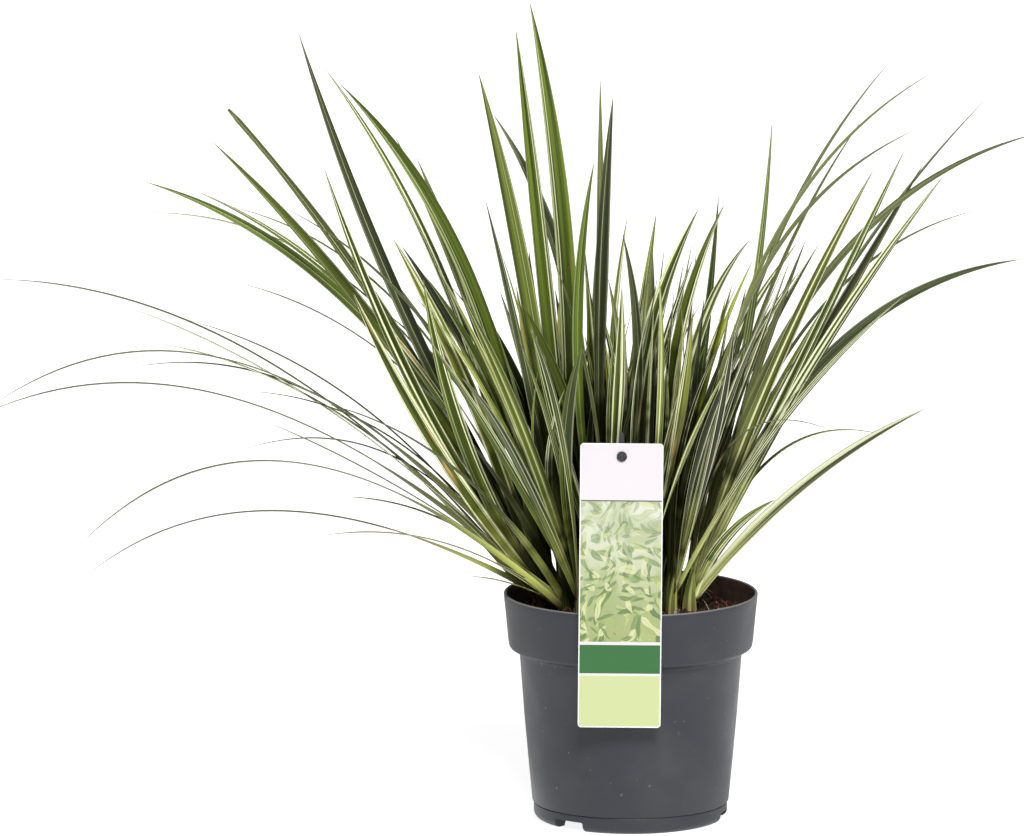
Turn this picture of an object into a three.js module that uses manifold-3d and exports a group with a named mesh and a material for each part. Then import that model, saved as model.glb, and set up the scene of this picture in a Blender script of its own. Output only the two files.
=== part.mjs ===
// A potted variegated sweet flag: a tussock of sword-leaved shoots in a plastic nursery pot, with a plant
// label on a stake. Sizes are in millimetres, +Z is up, and the origin is the middle of the pot's foot.

import * as THREE from 'three';
import { mergeVertices } from 'three/addons/utils/BufferGeometryUtils.js';
import Module from 'manifold-3d';

const wasm = await Module();
wasm.setup();

// The pot: a tapered body under a deep collar, on a foot with drainage notches.
const potHeight = 135;
const rimRadius = 75;
const collarFootRadius = 72;
const collarHeight = 33;
const bodyTopRadius = 65.8;
const bodyFootRadius = 58;
const footHeight = 10;
const footRadius = 57.2;
const footEdgeRound = 4.5;
const wall = 1.7;
const potSides = 36;
const drainHeight = 6;
const drainInnerRadius = 24;
const drainOuterRadius = 46;
const notchAngles = [-131, -11, 109];
const notchWidth = 24;

// The soil: it fills the pot and is mounded under the tussock.
const soilEdgeHeight = 121;
const soilMound = 8;
const soilLump = 0.7;

// The tussock: where the shoots stand, and how far they lean out at its edge.
const tussock = { x: -8, y: 2, halfLength: 50, halfDepth: 30 };
const clumping = 0.7;
const rightRoom = 0.7;
const shootCount = 32;
const fewestLeaves = 5;
const mostLeaves = 9;
const goldenTurn = 137.5;
const leftLean = 50;
const rightLean = 24;
const namedLean = 40;
const leanPower = 2.6;

// A shoot's sheathed crown, and how its leaves sit in it. Up to the sheath's height, the leaves of one shoot
// may grow out of each other.
const crownDepth = 9;
const crownHeight = 34;
const crownLength = 9;
const crownThickness = 6;
const crownSides = 6;
const crownLean = { start: 2, most: 45, share: 0.6 };
const sheathHeight = 100;
const rootOffset = 2.5;
const rootHeight = { low: 3, rise: 18 };

// A leaf's blade: edge-on at the root, it twists until the twist's end, and narrows from the taper's start.
// It bows up and outwards, and sways to a side.
const bladeThickness = 1.1;
const rootWidthShare = 0.55;
const rootWidening = 1.6;
const twistEnd = { upright: 0.6, arching: 0.3 };
const taperStart = 0.5;
const taperPower = 2.2;
const bowPerChord = 350;
const obliqueTurn = 20;
const archingTurn = 4;

// The crowd of smaller leaves: the limits of the draws, and the seed's parts.
const crowd = { lean: [-10, 14], leastLean: 2, fan: 30, length: [95, 160], lengthPerLean: 2.5 };
const crowdBow = [-3, 8];
const crowdSway = [-9, 9];
const crowdWidth = [4, 8];
const rightSlimness = 0.4;
const crowdTurn = 45;
const flatLean = 45;
const seed = { first: 7919, perShoot: 613, perRound: 97 };

// The plant label and its stake.
const card = { x: -6, width: 48.5, height: 169, thickness: 0.6, top: 237.4, corner: 2, lean: 0.5 };
const peg = { height: 229.7, radius: 1.6, headRadius: 3, headThickness: 1.4 };
const stake = { width: 4.6, thickness: 2, top: 243.5, bend: 205, foot: 62, footY: -50 };

const gap = 0.3;
const degree = Math.PI / 180;

// Each leaf that stands out of the crowd: its tip's x, y and z, how far its middle bows away from the
// straight line between root and tip, its width, and how far it sways to a side.
const arching = [
  [-379, 30, 317, 42, 7, 0],
  [-325, 30, 138, 47, 5, 0],
  [-266, 40, 292, 26, 4.5, 0],
  [-302, -20, 311, 20, 6, 4],
  [-380, -45, 256, 73, 6, 0],
  [-380, -80, 247, 57, 6, -5],
  [-325, -130, 183, 68, 5, 6],
  [-184, -75, 182, 17, 5, 0],
  [-173, 60, 181, 16, 5, 5],
  [-283, 55, 275, 26, 7, -4],
  [-301, 95, 252, 45, 5, 0],
  [-219, -60, 250, 8, 5, 0],
  [-234, 20, 215, 40, 4, 0],
  [-96, -30, 150, 4, 5, 0],
  [-295, 45, 354, 57, 6, 0],
  [-244, 85, 353, 46, 5, 5],
  [-217, -50, 378, 31, 6, 0],
  [-231, -85, 334, 32, 6, -5],
  [211, 100, 348, 46, 4, 0],
  [164, 70, 212, 42, 4, 0],
  [120, -85, 245, 46, 3, 0],
  [-231, 40, 249, 30, 4, 0],
  [-199, -60, 266, 20, 6, 0],
];
const upright = [
  [39, -70, 376, 11, 11, -16],
  [-237, 20, 420, 13, 6.5, 0],
  [-246, -35, 410, 14, 7.5, 4],
  [-196, 10, 469, -13, 8, -4],
  [-182, 60, 440, 24, 5.5, 6],
  [-171, -30, 443, 29, 9, -6],
  [-180, -80, 403, -13, 7, 0],
  [-287, -10, 382, 38, 6.5, 0],
  [-258, 20, 372, 33, 4.5, 0],
  [-127, 60, 386, 10, 7, 5],
  [-140, -60, 357, 10, 9, -6],
  [-140, 100, 392, 12, 7, 0],
  [-60, -15, 490, 12, 11.5, 0],
  [-68, 25, 468, 4, 9.5, 4],
  [-90, -40, 452, 9, 10, -4],
  [-82, 60, 412, 33, 8, 0],
  [-86, -40, 377, 3, 5, 0],
  [-18, 55, 435, -2, 6, 0],
  [-11, -50, 440, 10, 9, -3],
  [-22, -85, 407, 8, 7, -13],
  [-6, -95, 365, 5, 7, 15],
  [8, -60, 350, 4, 9, -1],
  [55, -20, 371, 17, 8, -4],
  [52, 40, 367, -4, 5.5, 0],
  [83, 15, 417, -9, 5, 0],
  [155, 35, 449, 27, 2.8, 0],
  [180, -25, 451, 45, 2.8, 4],
  [139, 70, 409, 20, 2.6, 0],
  [169, -60, 422, 46, 3.2, -5],
  [241, -10, 411, 49, 5, 0],
  [213, 60, 423, 19, 2.6, 0],
  [160, -45, 408, 0, 6.5, 0],
  [173, 25, 388, 2, 7, 0],
  [183, -75, 398, 9, 7, 0],
  [142, -35, 394, 7, 7.5, 0],
  [230, -30, 339, 42, 7, 0],
  [173, -55, 255, 11, 7.5, 0],
  [105, 85, 333, 5, 5, 0],
  [69, -95, 362, 31, 7, 0],
  [85, -30, 196, 8, 7, 0],
  [-122, -60, 332, -13, 9, 0],
  [-164, -90, 332, -8, 8, 0],
  [-39, -62, 268, 3, 5, -14],
];

const potMaterial = new THREE.MeshStandardMaterial({ color: '#54555a', roughness: 0.55, metalness: 0 });
const soilMaterial = new THREE.MeshStandardMaterial({ color: '#2d1c12', roughness: 1, metalness: 0 });
const cardMaterial = new THREE.MeshStandardMaterial({ color: '#e0efad', roughness: 0.35, metalness: 0 });
const stakeMaterial = new THREE.MeshStandardMaterial({ color: '#3c3d42', roughness: 0.5, metalness: 0 });
const leafMaterial = new THREE.MeshStandardMaterial({ color: '#5a7332', roughness: 0.45, metalness: 0 });

function solidOf(geometry) {
  geometry.deleteAttribute('normal');
  geometry.deleteAttribute('uv');
  const merged = mergeVertices(geometry, 1e-4);
  const vertProperties = new Float32Array(merged.attributes.position.array);
  const triVerts = new Uint32Array(merged.index.array);
  return new wasm.Manifold(new wasm.Mesh({ numProp: 3, vertProperties, triVerts }));
}

function meshOf(name, solid, material) {
  const { vertProperties, triVerts } = solid.getMesh();
  const geometry = new THREE.BufferGeometry();
  geometry.setAttribute('position', new THREE.BufferAttribute(vertProperties, 3));
  geometry.setIndex(new THREE.BufferAttribute(triVerts, 1));
  geometry.computeVertexNormals();
  const mesh = new THREE.Mesh(geometry, material);
  mesh.name = name;
  return mesh;
}

// A repeatable draw between two limits.
function drawsFrom(seed) {
  let state = seed;
  return (low, high) => {
    state = (state * 16807) % 2147483647;
    return low + ((high - low) * state) / 2147483647;
  };
}

// Turned about the vertical axis from an outline of (radius, height) points.
function turned(points, sides) {
  const outline = points.map(([radius, height]) => new THREE.Vector2(radius, height));
  return new THREE.LatheGeometry(outline, sides).rotateX(Math.PI / 2);
}

function arcPoints(centreRadius, centreHeight, radius, fromAngle, toAngle, steps) {
  const points = [];
  for (let step = 0; step <= steps; step += 1) {
    const angle = (fromAngle + ((toAngle - fromAngle) * step) / steps) * degree;
    points.push([centreRadius + radius * Math.cos(angle), centreHeight + radius * Math.sin(angle)]);
  }
  return points;
}

// The pot's inside, from the floor's edge to the rim, moved in by a clearance.
const collarFoot = potHeight - collarHeight;
const floorHeight = drainHeight + wall;

function insideOutline(clear) {
  return [
    [bodyFootRadius - wall - clear, floorHeight + clear],
    [bodyTopRadius - wall - clear, collarFoot - 2 * wall + clear],
    [collarFootRadius - wall - clear, collarFoot + wall + clear],
    [rimRadius - 2 * wall - clear, potHeight - wall],
  ];
}

function pot() {
  const outline = [
    [0, 0],
    [drainInnerRadius - 4, 0],
    [drainInnerRadius, drainHeight],
    [drainOuterRadius, drainHeight],
    [drainOuterRadius + 2.5, 0],
    ...arcPoints(footRadius - footEdgeRound, footEdgeRound, footEdgeRound, -90, 0, 3),
    [footRadius, footHeight - 0.6],
    [bodyFootRadius, footHeight],
    [bodyTopRadius, collarFoot - wall],
    ...arcPoints(collarFootRadius - 2, collarFoot + 2, 2, -80, 0, 2),
    ...arcPoints(rimRadius - 1.5, potHeight - 1.5, 1.5, 0, 180, 3),
    ...insideOutline(0).reverse().slice(1),
    [0, floorHeight],
  ];
  let body = solidOf(turned(outline, potSides));
  for (const angle of notchAngles) {
    const radius = footRadius - 5;
    const width = 2 * radius * Math.sin((notchWidth / 2) * degree);
    const notch = new THREE.BoxGeometry(20, width, 2 * (drainHeight - 0.2));
    notch.translate(radius + 1, 0, 0).rotateZ(angle * degree);
    const hole = new THREE.CylinderGeometry(3.5, 3.5, 20, 12).rotateX(Math.PI / 2);
    hole.translate(drainOuterRadius - 6, 0, drainHeight).rotateZ(angle * degree);
    body = body.subtract(solidOf(notch)).subtract(solidOf(hole));
  }
  return body;
}

// The soil's surface: highest round the crowns, with low lumps.
function soilHeight(x, y) {
  const across = (x - tussock.x) / (tussock.halfLength + 8);
  const along = (y - tussock.y) / (tussock.halfDepth + 8);
  const mound = soilMound * Math.exp(-(across * across + along * along));
  const lump = soilLump * (Math.sin(x * 0.31 + 1) * Math.cos(y * 0.27) + Math.sin(x * 0.11 - y * 0.19));
  return soilEdgeHeight + mound + lump;
}

function soil(shoots) {
  const side = insideOutline(gap).slice(0, 3);
  const [, , [collarInside, collarStart], [rimInside, rimStart]] = insideOutline(gap);
  const risen = (soilEdgeHeight - collarStart) / (rimStart - collarStart);
  const topRadius = collarInside + (rimInside - collarInside) * risen;
  const rings = [56, 40, 24, 0].map((radius) => [radius, soilEdgeHeight]);
  const outline = [[0, floorHeight + gap], ...side, [topRadius, soilEdgeHeight], ...rings];
  const geometry = turned(outline, potSides);
  const place = geometry.attributes.position;
  for (let i = 0; i < place.count; i += 1) {
    if (place.getZ(i) > soilEdgeHeight - 0.01) {
      place.setZ(i, soilHeight(place.getX(i), place.getY(i)));
    }
  }
  let body = solidOf(geometry);
  for (const shoot of shoots) {
    body = body.subtract(crownHole(shoot));
  }
  return body.subtract(stakeSolid(gap));
}

// The tussock leans further out on its left side than on its right.
function sideLean(turn) {
  return (leftLean + rightLean) / 2 - ((leftLean - rightLean) / 2) * Math.cos(turn);
}

// The shoots' places: a sunflower spread over the tussock, the outer ones leaning further out.
function shootPlaces() {
  const shoots = [];
  for (let index = 0; index < shootCount; index += 1) {
    const share = Math.sqrt((index + 0.5) / shootCount);
    const turn = ((index * goldenTurn) % 360) * degree;
    const sideways = Math.sign(Math.cos(turn)) * Math.abs(Math.cos(turn)) ** clumping;
    const x = tussock.x + tussock.halfLength * share * sideways;
    const y = tussock.y + tussock.halfDepth * share * Math.sin(turn);
    const lean = sideLean(turn) * share ** leanPower;
    const outward = Math.max(-sideways, sideways * rightRoom) * share * share;
    const room = fewestLeaves + Math.round((mostLeaves - 1 - fewestLeaves) * outward);
    shoots.push({ index, x, y, turn, lean, room, ground: soilHeight(x, y), leaves: [] });
  }
  return shoots;
}

function crownGeometry(outline, grow) {
  const geometry = turned(outline, crownSides);
  geometry.scale(crownLength / 2 + grow, crownThickness / 2 + grow, 1);
  return geometry;
}

function crownHole(shoot) {
  const depth = -crownDepth - gap;
  const geometry = crownGeometry([[0, depth], [1, depth], [1, 12], [0, 12]], gap);
  geometry.rotateZ(shoot.turn).translate(shoot.x, shoot.y, shoot.ground);
  return solidOf(geometry);
}

// How far the crown's axis has leaned out at a height above the ground.
function crownShift(shoot, height) {
  const above = Math.max(0, height - crownLean.start) / crownHeight;
  const slope = Math.min(shoot.lean, crownLean.most) * crownLean.share;
  return crownHeight * Math.tan(slope * degree) * above * above;
}

function crown(shoot) {
  const outline = [[0, -crownDepth], [0.9, -crownDepth], [1, 2], [0.8, crownHeight * 0.5], [0, crownHeight]];
  const geometry = crownGeometry(outline, 0);
  const place = geometry.attributes.position;
  for (let i = 0; i < place.count; i += 1) {
    place.setX(i, place.getX(i) + crownShift(shoot, place.getZ(i)));
  }
  geometry.rotateZ(shoot.turn).translate(shoot.x, shoot.y, shoot.ground);
  return solidOf(geometry);
}

// A leaf's root, on the crown's axis: low on the outside leaves, high on the upright ones.
function leafRoot(shoot, lean, azimuth) {
  const height = rootHeight.low + rootHeight.rise * Math.cos(lean * degree) ** 2;
  const shift = crownShift(shoot, height);
  const aside = rootOffset * Math.sin(lean * degree);
  const x = shoot.x + shift * Math.cos(shoot.turn) + aside * Math.cos(azimuth);
  const y = shoot.y + shift * Math.sin(shoot.turn) + aside * Math.sin(azimuth);
  return new THREE.Vector3(x, y, shoot.ground + height);
}

// The blade's rings: each has a left edge, an upper keel, a right edge and a lower keel.
function bladeRings(leaf) {
  const chord = leaf.tip.clone().sub(leaf.root);
  const azimuth = Math.atan2(chord.y, chord.x);
  const side = new THREE.Vector3(-Math.sin(azimuth), Math.cos(azimuth), 0);
  const rise = new THREE.Vector3().crossVectors(chord, side).normalize();
  const along = 0.5 + leaf.bow / bowPerChord;
  const bend = leaf.root.clone().addScaledVector(chord, along);
  bend.addScaledVector(rise, 2 * leaf.bow).addScaledVector(side, 2 * leaf.sway);
  const curve = new THREE.QuadraticBezierCurve3(leaf.root, bend, leaf.tip);
  const start = bend.clone().sub(leaf.root);
  const end = leaf.tip.clone().sub(bend);
  const rings = [];
  for (let step = 0; step < leaf.steps; step += 1) {
    const t = step / leaf.steps;
    const centre = curve.getPoint(t);
    const forward = start.clone().lerp(end, t).normalize();
    const normal = new THREE.Vector3().crossVectors(forward, side).normalize();
    const level = new THREE.Vector3().crossVectors(normal, forward);
    const turn = (90 + (leaf.turn - 90) * Math.min(1, t / leaf.twistEnd)) * degree;
    const across = level.multiplyScalar(Math.cos(turn)).addScaledVector(normal, Math.sin(turn));
    const over = new THREE.Vector3().crossVectors(forward, across).normalize();
    const taper = 1 - Math.max(0, (t - taperStart) / (1 - taperStart)) ** taperPower;
    const half = (leaf.width / 2) * Math.min(1, rootWidthShare + rootWidening * t) * taper;
    rings.push([
      centre.clone().addScaledVector(across, half),
      centre.clone().addScaledVector(over, bladeThickness / 2),
      centre.clone().addScaledVector(across, -half),
      centre.clone().addScaledVector(over, -bladeThickness / 2),
    ]);
  }
  return rings;
}

function bladeSolid(leaf) {
  const rings = bladeRings(leaf);
  const positions = rings.flat().concat([leaf.tip]).flatMap((point) => point.toArray());
  const faces = [0, 3, 2, 0, 2, 1];
  const last = rings.length - 1;
  for (let ring = 0; ring < last; ring += 1) {
    for (const [edge, keel] of [[0, 1], [2, 3]]) {
      const nextEdge = (edge + 2) % 4;
      const [e, k, n] = [ring * 4 + edge, ring * 4 + keel, ring * 4 + nextEdge];
      faces.push(e, k, e + 4, k, k + 4, e + 4);
      faces.push(k, n, n + 4, k, n + 4, k + 4);
    }
  }
  for (let corner = 0; corner < 4; corner += 1) {
    faces.push(last * 4 + corner, last * 4 + ((corner + 1) % 4), rings.length * 4);
  }
  const geometry = new THREE.BufferGeometry();
  geometry.setAttribute('position', new THREE.Float32BufferAttribute(positions, 3));
  geometry.setIndex(faces);
  return solidOf(geometry);
}

// The space that is taken, in small cells, so that no leaf crosses another shoot's leaf.
const cellSize = 2;
const sampleStep = 1.5;
const taken = new Map();

function cellKey(x, y, z) {
  return (x + 500) + 1000 * ((y + 500) + 1000 * (z + 500));
}

function pointsOn(leaf) {
  const rings = bladeRings(leaf);
  const ends = rings.map((ring) => [ring[0], ring[2]]).concat([[leaf.tip, leaf.tip]]);
  const points = [];
  for (let ring = 0; ring + 1 < ends.length; ring += 1) {
    const [left, right] = ends[ring];
    const [nextLeft, nextRight] = ends[ring + 1];
    const rows = Math.ceil(Math.max(left.distanceTo(nextLeft), right.distanceTo(nextRight)) / sampleStep);
    const columns = Math.ceil(Math.max(1, left.distanceTo(right)) / sampleStep);
    for (let row = 0; row <= rows; row += 1) {
      const start = left.clone().lerp(nextLeft, row / rows);
      const end = right.clone().lerp(nextRight, row / rows);
      for (let column = 0; column <= columns; column += 1) {
        points.push(start.clone().lerp(end, column / columns));
      }
    }
  }
  return points;
}

function take(point, owner) {
  const x = Math.floor(point.x / cellSize);
  const y = Math.floor(point.y / cellSize);
  const z = Math.floor(point.z / cellSize);
  const around = [[0, 0, 0], [1, 0, 0], [-1, 0, 0], [0, 1, 0], [0, -1, 0], [0, 0, 1], [0, 0, -1]];
  for (const [dx, dy, dz] of around) {
    const key = cellKey(x + dx, y + dy, z + dz);
    if (!taken.has(key)) {
      taken.set(key, owner);
    }
  }
}

// The rim's and the soil's clearances.
const rimBand = 7;
const rimClear = 2;
const soilClear = 1;

function isFree(point, shoot) {
  const radius = Math.hypot(point.x, point.y);
  const overSoil = radius <= rimRadius - rimBand;
  if (!overSoil && radius < rimRadius + rimClear && point.z < potHeight + rimClear) {
    return false;
  }
  const fromCrown = Math.hypot(point.x - shoot.x, point.y - shoot.y);
  if (overSoil && fromCrown > crownLength && point.z < soilHeight(point.x, point.y) + soilClear) {
    return false;
  }
  const x = Math.floor(point.x / cellSize);
  const y = Math.floor(point.y / cellSize);
  const z = Math.floor(point.z / cellSize);
  const holder = taken.get(cellKey(x, y, z));
  const inSheath = point.z < shoot.ground + sheathHeight;
  return holder === undefined || (holder === shoot.index && inSheath);
}

// No leaf passes in front of the label, seen from a little above.
const labelSide = 4;
const labelBack = 8;
const labelAbove = 7;
const sightSlope = 0.18;

function hidesLabel(point) {
  const beside = Math.abs(point.x - card.x) > card.width / 2 + labelSide;
  const behind = point.y > -rimRadius + labelBack;
  const above = point.z > card.top - labelAbove - sightSlope * point.y;
  return !(beside || behind || above);
}

// The leaf is swung sideways in small steps until it stands clear, or given up.
const swings = [0];
for (let swing = 4; swing <= 64; swing += 4) {
  swings.push(swing, -swing);
}

function placeLeaf(shoot, leaf, swing) {
  const reach = Math.max(40, Math.hypot(leaf.tip.x - leaf.root.x, leaf.tip.y - leaf.root.y));
  const tip = leaf.tip.clone().sub(leaf.root).applyAxisAngle(new THREE.Vector3(0, 0, 1), swing / reach);
  const swung = { ...leaf, tip: tip.add(leaf.root) };
  const points = pointsOn(swung);
  if (points.some((point) => !isFree(point, shoot) || hidesLabel(point))) {
    return false;
  }
  points.forEach((point) => take(point, shoot.index));
  shoot.leaves.push(swung);
  return true;
}

function takeCrown(shoot) {
  for (let height = -2; height <= crownHeight; height += 2) {
    const shift = crownShift(shoot, height);
    const size = height > crownHeight * 0.7 ? 0.4 : 0.9;
    for (let angle = 0; angle < 360; angle += 30) {
      const long = (crownLength / 2) * size * Math.cos(angle * degree) + shift;
      const short = (crownThickness / 2) * size * Math.sin(angle * degree);
      const x = shoot.x + long * Math.cos(shoot.turn) - short * Math.sin(shoot.turn);
      const y = shoot.y + long * Math.sin(shoot.turn) + short * Math.cos(shoot.turn);
      take(new THREE.Vector3(x, y, shoot.ground + height), shoot.index);
    }
  }
}

function takeStake() {
  for (let height = soilEdgeHeight; height <= stake.top; height += 2) {
    for (let x = -stake.width / 2; x <= stake.width / 2; x += 1) {
      take(new THREE.Vector3(card.x + x, stakeY(height), height), -1);
      take(new THREE.Vector3(card.x + x, stakeY(height) + stake.thickness, height), -1);
    }
  }
}

function leafBetween(root, tip, bow, sway, width, turn) {
  const curl = Math.round((Math.abs(bow) + Math.abs(sway)) / 14);
  const steps = 4 + Math.min(4, curl + (tip.distanceTo(root) > 240 ? 1 : 0));
  const flat = turn === archingTurn;
  return { root, tip, bow, sway, width, turn, steps, twistEnd: flat ? twistEnd.arching : twistEnd.upright };
}

// A named leaf grows from one of the shoots whose own lean and side suit it best, where it swings least.
function shootsFor(shoots, tip, lean) {
  const share = Math.min(1, lean / namedLean) ** (1 / leanPower);
  const azimuth = Math.atan2(tip.y - tussock.y, tip.x - tussock.x);
  const x = tussock.x + tussock.halfLength * share * Math.cos(azimuth);
  const y = tussock.y + tussock.halfDepth * share * Math.sin(azimuth);
  const distance = (shoot) => Math.hypot(shoot.x - x, shoot.y - y);
  const open = shoots.filter((shoot) => shoot.leaves.length < mostLeaves);
  return open.sort((one, other) => distance(one) - distance(other)).slice(0, 5);
}

// The turn that shows an upright blade's broad side to the front.
function frontTurn(root, tip) {
  const azimuth = Math.atan2(tip.y - root.y, tip.x - root.x) / degree;
  return (450 + obliqueTurn - azimuth) % 180;
}

function growNamed(shoots, rows, flatTurn) {
  for (const [x, y, z, bow, width, sway] of rows) {
    const tip = new THREE.Vector3(x, y, z);
    const lean = Math.atan2(Math.hypot(x - tussock.x, y - tussock.y), z - potHeight) / degree;
    const near = shootsFor(shoots, tip, lean);
    swings.some((swing) => near.some((shoot) => {
      const root = leafRoot(shoot, lean, Math.atan2(y - shoot.y, x - shoot.x));
      const turn = flatTurn ?? frontTurn(root, tip);
      return placeLeaf(shoot, leafBetween(root, tip, bow, sway, width, turn), swing);
    }));
  }
}

function growCrowd(shoots) {
  for (let round = 0; round < mostLeaves; round += 1) {
    for (const shoot of shoots) {
      if (shoot.leaves.length >= shoot.room) {
        continue;
      }
      const draw = drawsFrom(seed.first + seed.perShoot * shoot.index + seed.perRound * round);
      draw(0, 1);
      const lean = Math.max(crowd.leastLean, shoot.lean + draw(...crowd.lean));
      const azimuth = shoot.turn + draw(-crowd.fan, crowd.fan) * degree;
      const length = draw(...crowd.length) + crowd.lengthPerLean * lean;
      const root = leafRoot(shoot, lean, azimuth);
      const reach = length * Math.sin(lean * degree);
      const tip = new THREE.Vector3(
        root.x + reach * Math.cos(azimuth),
        root.y + reach * Math.sin(azimuth),
        root.z + length * Math.cos(lean * degree),
      );
      const bow = (length * lean) / 900 + draw(...crowdBow);
      const twist = draw(-crowdTurn, crowdTurn);
      const turn = lean > flatLean ? archingTurn : frontTurn(root, tip) + twist;
      const sway = draw(...crowdSway);
      const width = draw(...crowdWidth) * (1 - rightSlimness * Math.max(0, Math.cos(shoot.turn)));
      const leaf = leafBetween(root, tip, bow, sway, width, turn);
      swings.some((swing) => placeLeaf(shoot, leaf, swing));
    }
  }
}

// The label's card hangs from the peg and rests against the collar.
const cardBack = -rimRadius - gap;
const cardCentre = card.top - card.height / 2;

function tagCard() {
  const outline = new THREE.Shape();
  const [half, tall, round] = [card.width / 2, card.height / 2, card.corner];
  outline.moveTo(-half + round, -tall);
  outline.lineTo(half - round, -tall);
  outline.absarc(half - round, -tall + round, round, -Math.PI / 2, 0);
  outline.lineTo(half, tall - round);
  outline.absarc(half - round, tall - round, round, 0, Math.PI / 2);
  outline.lineTo(-half + round, tall);
  outline.absarc(-half + round, tall - round, round, Math.PI / 2, Math.PI);
  outline.lineTo(-half, -tall + round);
  outline.absarc(-half + round, -tall + round, round, Math.PI, 1.5 * Math.PI);
  const hole = new THREE.Path();
  hole.absarc(0, peg.height - cardCentre, peg.radius + gap, 0, 2 * Math.PI);
  outline.holes.push(hole);
  const geometry = new THREE.ExtrudeGeometry(outline, {
    depth: card.thickness,
    bevelEnabled: false,
    curveSegments: 4,
  });
  geometry.translate(0, cardCentre - peg.height, 0).rotateZ(-card.lean * degree);
  geometry.rotateX(Math.PI / 2).translate(card.x, cardBack, peg.height);
  return solidOf(geometry);
}

// The stake's front face: upright behind the card, then slanting back into the soil.
const stakeFront = cardBack + 0.5;

function stakeY(height) {
  if (height >= stake.bend) {
    return stakeFront;
  }
  const down = (stake.bend - height) / (stake.bend - stake.foot);
  return stakeFront + (stake.footY - stakeFront) * down;
}

function stakeSolid(clear) {
  const side = new THREE.Shape();
  side.moveTo(stakeY(stake.foot) - clear, stake.foot - clear);
  side.lineTo(stakeY(stake.foot) + stake.thickness + clear, stake.foot - clear);
  side.lineTo(stakeFront + stake.thickness + clear, stake.bend);
  side.lineTo(stakeFront + stake.thickness + clear, stake.top);
  side.lineTo(stakeFront - clear, stake.top);
  side.lineTo(stakeFront - clear, stake.bend);
  const width = stake.width + 2 * clear;
  const strip = new THREE.ExtrudeGeometry(side, { depth: width, bevelEnabled: false });
  strip.rotateX(Math.PI / 2).rotateZ(Math.PI / 2).translate(card.x - width / 2, 0, 0);
  const front = new THREE.Shape();
  front.moveTo(-1, stake.foot - clear);
  front.lineTo(1, stake.foot - clear);
  front.lineTo(width / 2, stake.foot + 14);
  front.lineTo(width / 2, stake.top - 16);
  front.lineTo(1.3, stake.top - 1);
  front.lineTo(0.5, stake.top);
  front.lineTo(-0.5, stake.top);
  front.lineTo(-1.3, stake.top - 1);
  front.lineTo(-width / 2, stake.top - 16);
  front.lineTo(-width / 2, stake.foot + 14);
  const plate = new THREE.ExtrudeGeometry(front, { depth: rimRadius, bevelEnabled: false });
  plate.rotateX(Math.PI / 2).translate(card.x, -rimRadius / 3, 0);
  return solidOf(strip).intersect(solidOf(plate));
}

function tagStake() {
  const cardFront = cardBack - card.thickness;
  const shank = new THREE.CylinderGeometry(peg.radius, peg.radius, 3, 16);
  shank.translate(card.x, cardFront - gap + 1.5, peg.height);
  const dome = [[0, 0], [peg.headRadius, 0], [peg.headRadius, 0.6], [2, peg.headThickness], [0, 1.6]];
  const head = turned(dome, 20);
  head.rotateX(Math.PI / 2).translate(card.x, cardFront - gap, peg.height);
  return stakeSolid(0).add(solidOf(shank)).add(solidOf(head));
}

const shoots = shootPlaces();
shoots.forEach(takeCrown);
takeStake();
growNamed(shoots, upright);
growNamed(shoots, arching, archingTurn);
growCrowd(shoots);

const plant = new THREE.Group();
plant.add(meshOf('pot', pot(), potMaterial));
plant.add(meshOf('soil', soil(shoots), soilMaterial));
plant.add(meshOf('tag_card', tagCard(), cardMaterial));
plant.add(meshOf('tag_stake', tagStake(), stakeMaterial));
for (const shoot of shoots) {
  let fan = crown(shoot);
  for (const leaf of shoot.leaves) {
    fan = fan.add(bladeSolid(leaf));
  }
  const [whole] = fan.decompose().filter((body) => body.volume() > 0);
  const name = `shoot_${String(shoot.index + 1).padStart(2, '0')}`;
  plant.add(meshOf(name, whole, leafMaterial));
}

export default plant;
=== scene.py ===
"""A potted variegated sweet flag with its plant label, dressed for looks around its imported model."""

import math

import bmesh
import bpy
import numpy as np
from mathutils import Matrix, Vector, noise


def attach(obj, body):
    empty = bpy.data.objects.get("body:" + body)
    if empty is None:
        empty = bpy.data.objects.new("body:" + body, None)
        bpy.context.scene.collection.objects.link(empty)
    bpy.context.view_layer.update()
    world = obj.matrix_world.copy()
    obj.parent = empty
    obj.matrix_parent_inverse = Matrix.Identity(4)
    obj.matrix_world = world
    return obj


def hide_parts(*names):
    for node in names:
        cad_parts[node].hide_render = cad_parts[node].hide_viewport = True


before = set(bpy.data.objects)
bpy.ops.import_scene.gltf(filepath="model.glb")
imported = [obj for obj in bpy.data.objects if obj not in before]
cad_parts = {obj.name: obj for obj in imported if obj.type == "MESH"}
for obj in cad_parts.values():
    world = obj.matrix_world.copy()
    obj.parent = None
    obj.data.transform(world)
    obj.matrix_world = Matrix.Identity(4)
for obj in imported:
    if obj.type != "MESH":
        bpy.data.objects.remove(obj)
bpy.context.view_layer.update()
MM = 0.001


# The nursery pot. Thin dark anthracite polypropylene, injection moulded: a deep collar with a rounded lip
# over a tapered body, and a foot ring with three drainage notches under it. It carries everything else.
POT_RIM, POT_TOP = 75, 135
COLLAR_FOOT_RADIUS, COLLAR_FOOT = 72, 102
BODY_TOP_RADIUS, BODY_FOOT_RADIUS = 65.8, 58
FOOT_RADIUS, FOOT_TOP = 57.2, 10
DRAIN_IN, DRAIN_OUT, DRAIN_HEIGHT = 24, 46, 6
POT_WALL = 1.7
NOTCH_TURNS, NOTCH_REACH, NOTCH_LENGTH, NOTCH_WIDTH = (-131, -11, 109), 53.2, 20, 21.7
DRAIN_HOLE, DRAIN_HOLE_REACH = 3.5, 40
ANTHRACITE = (37, 40, 47)


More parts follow.
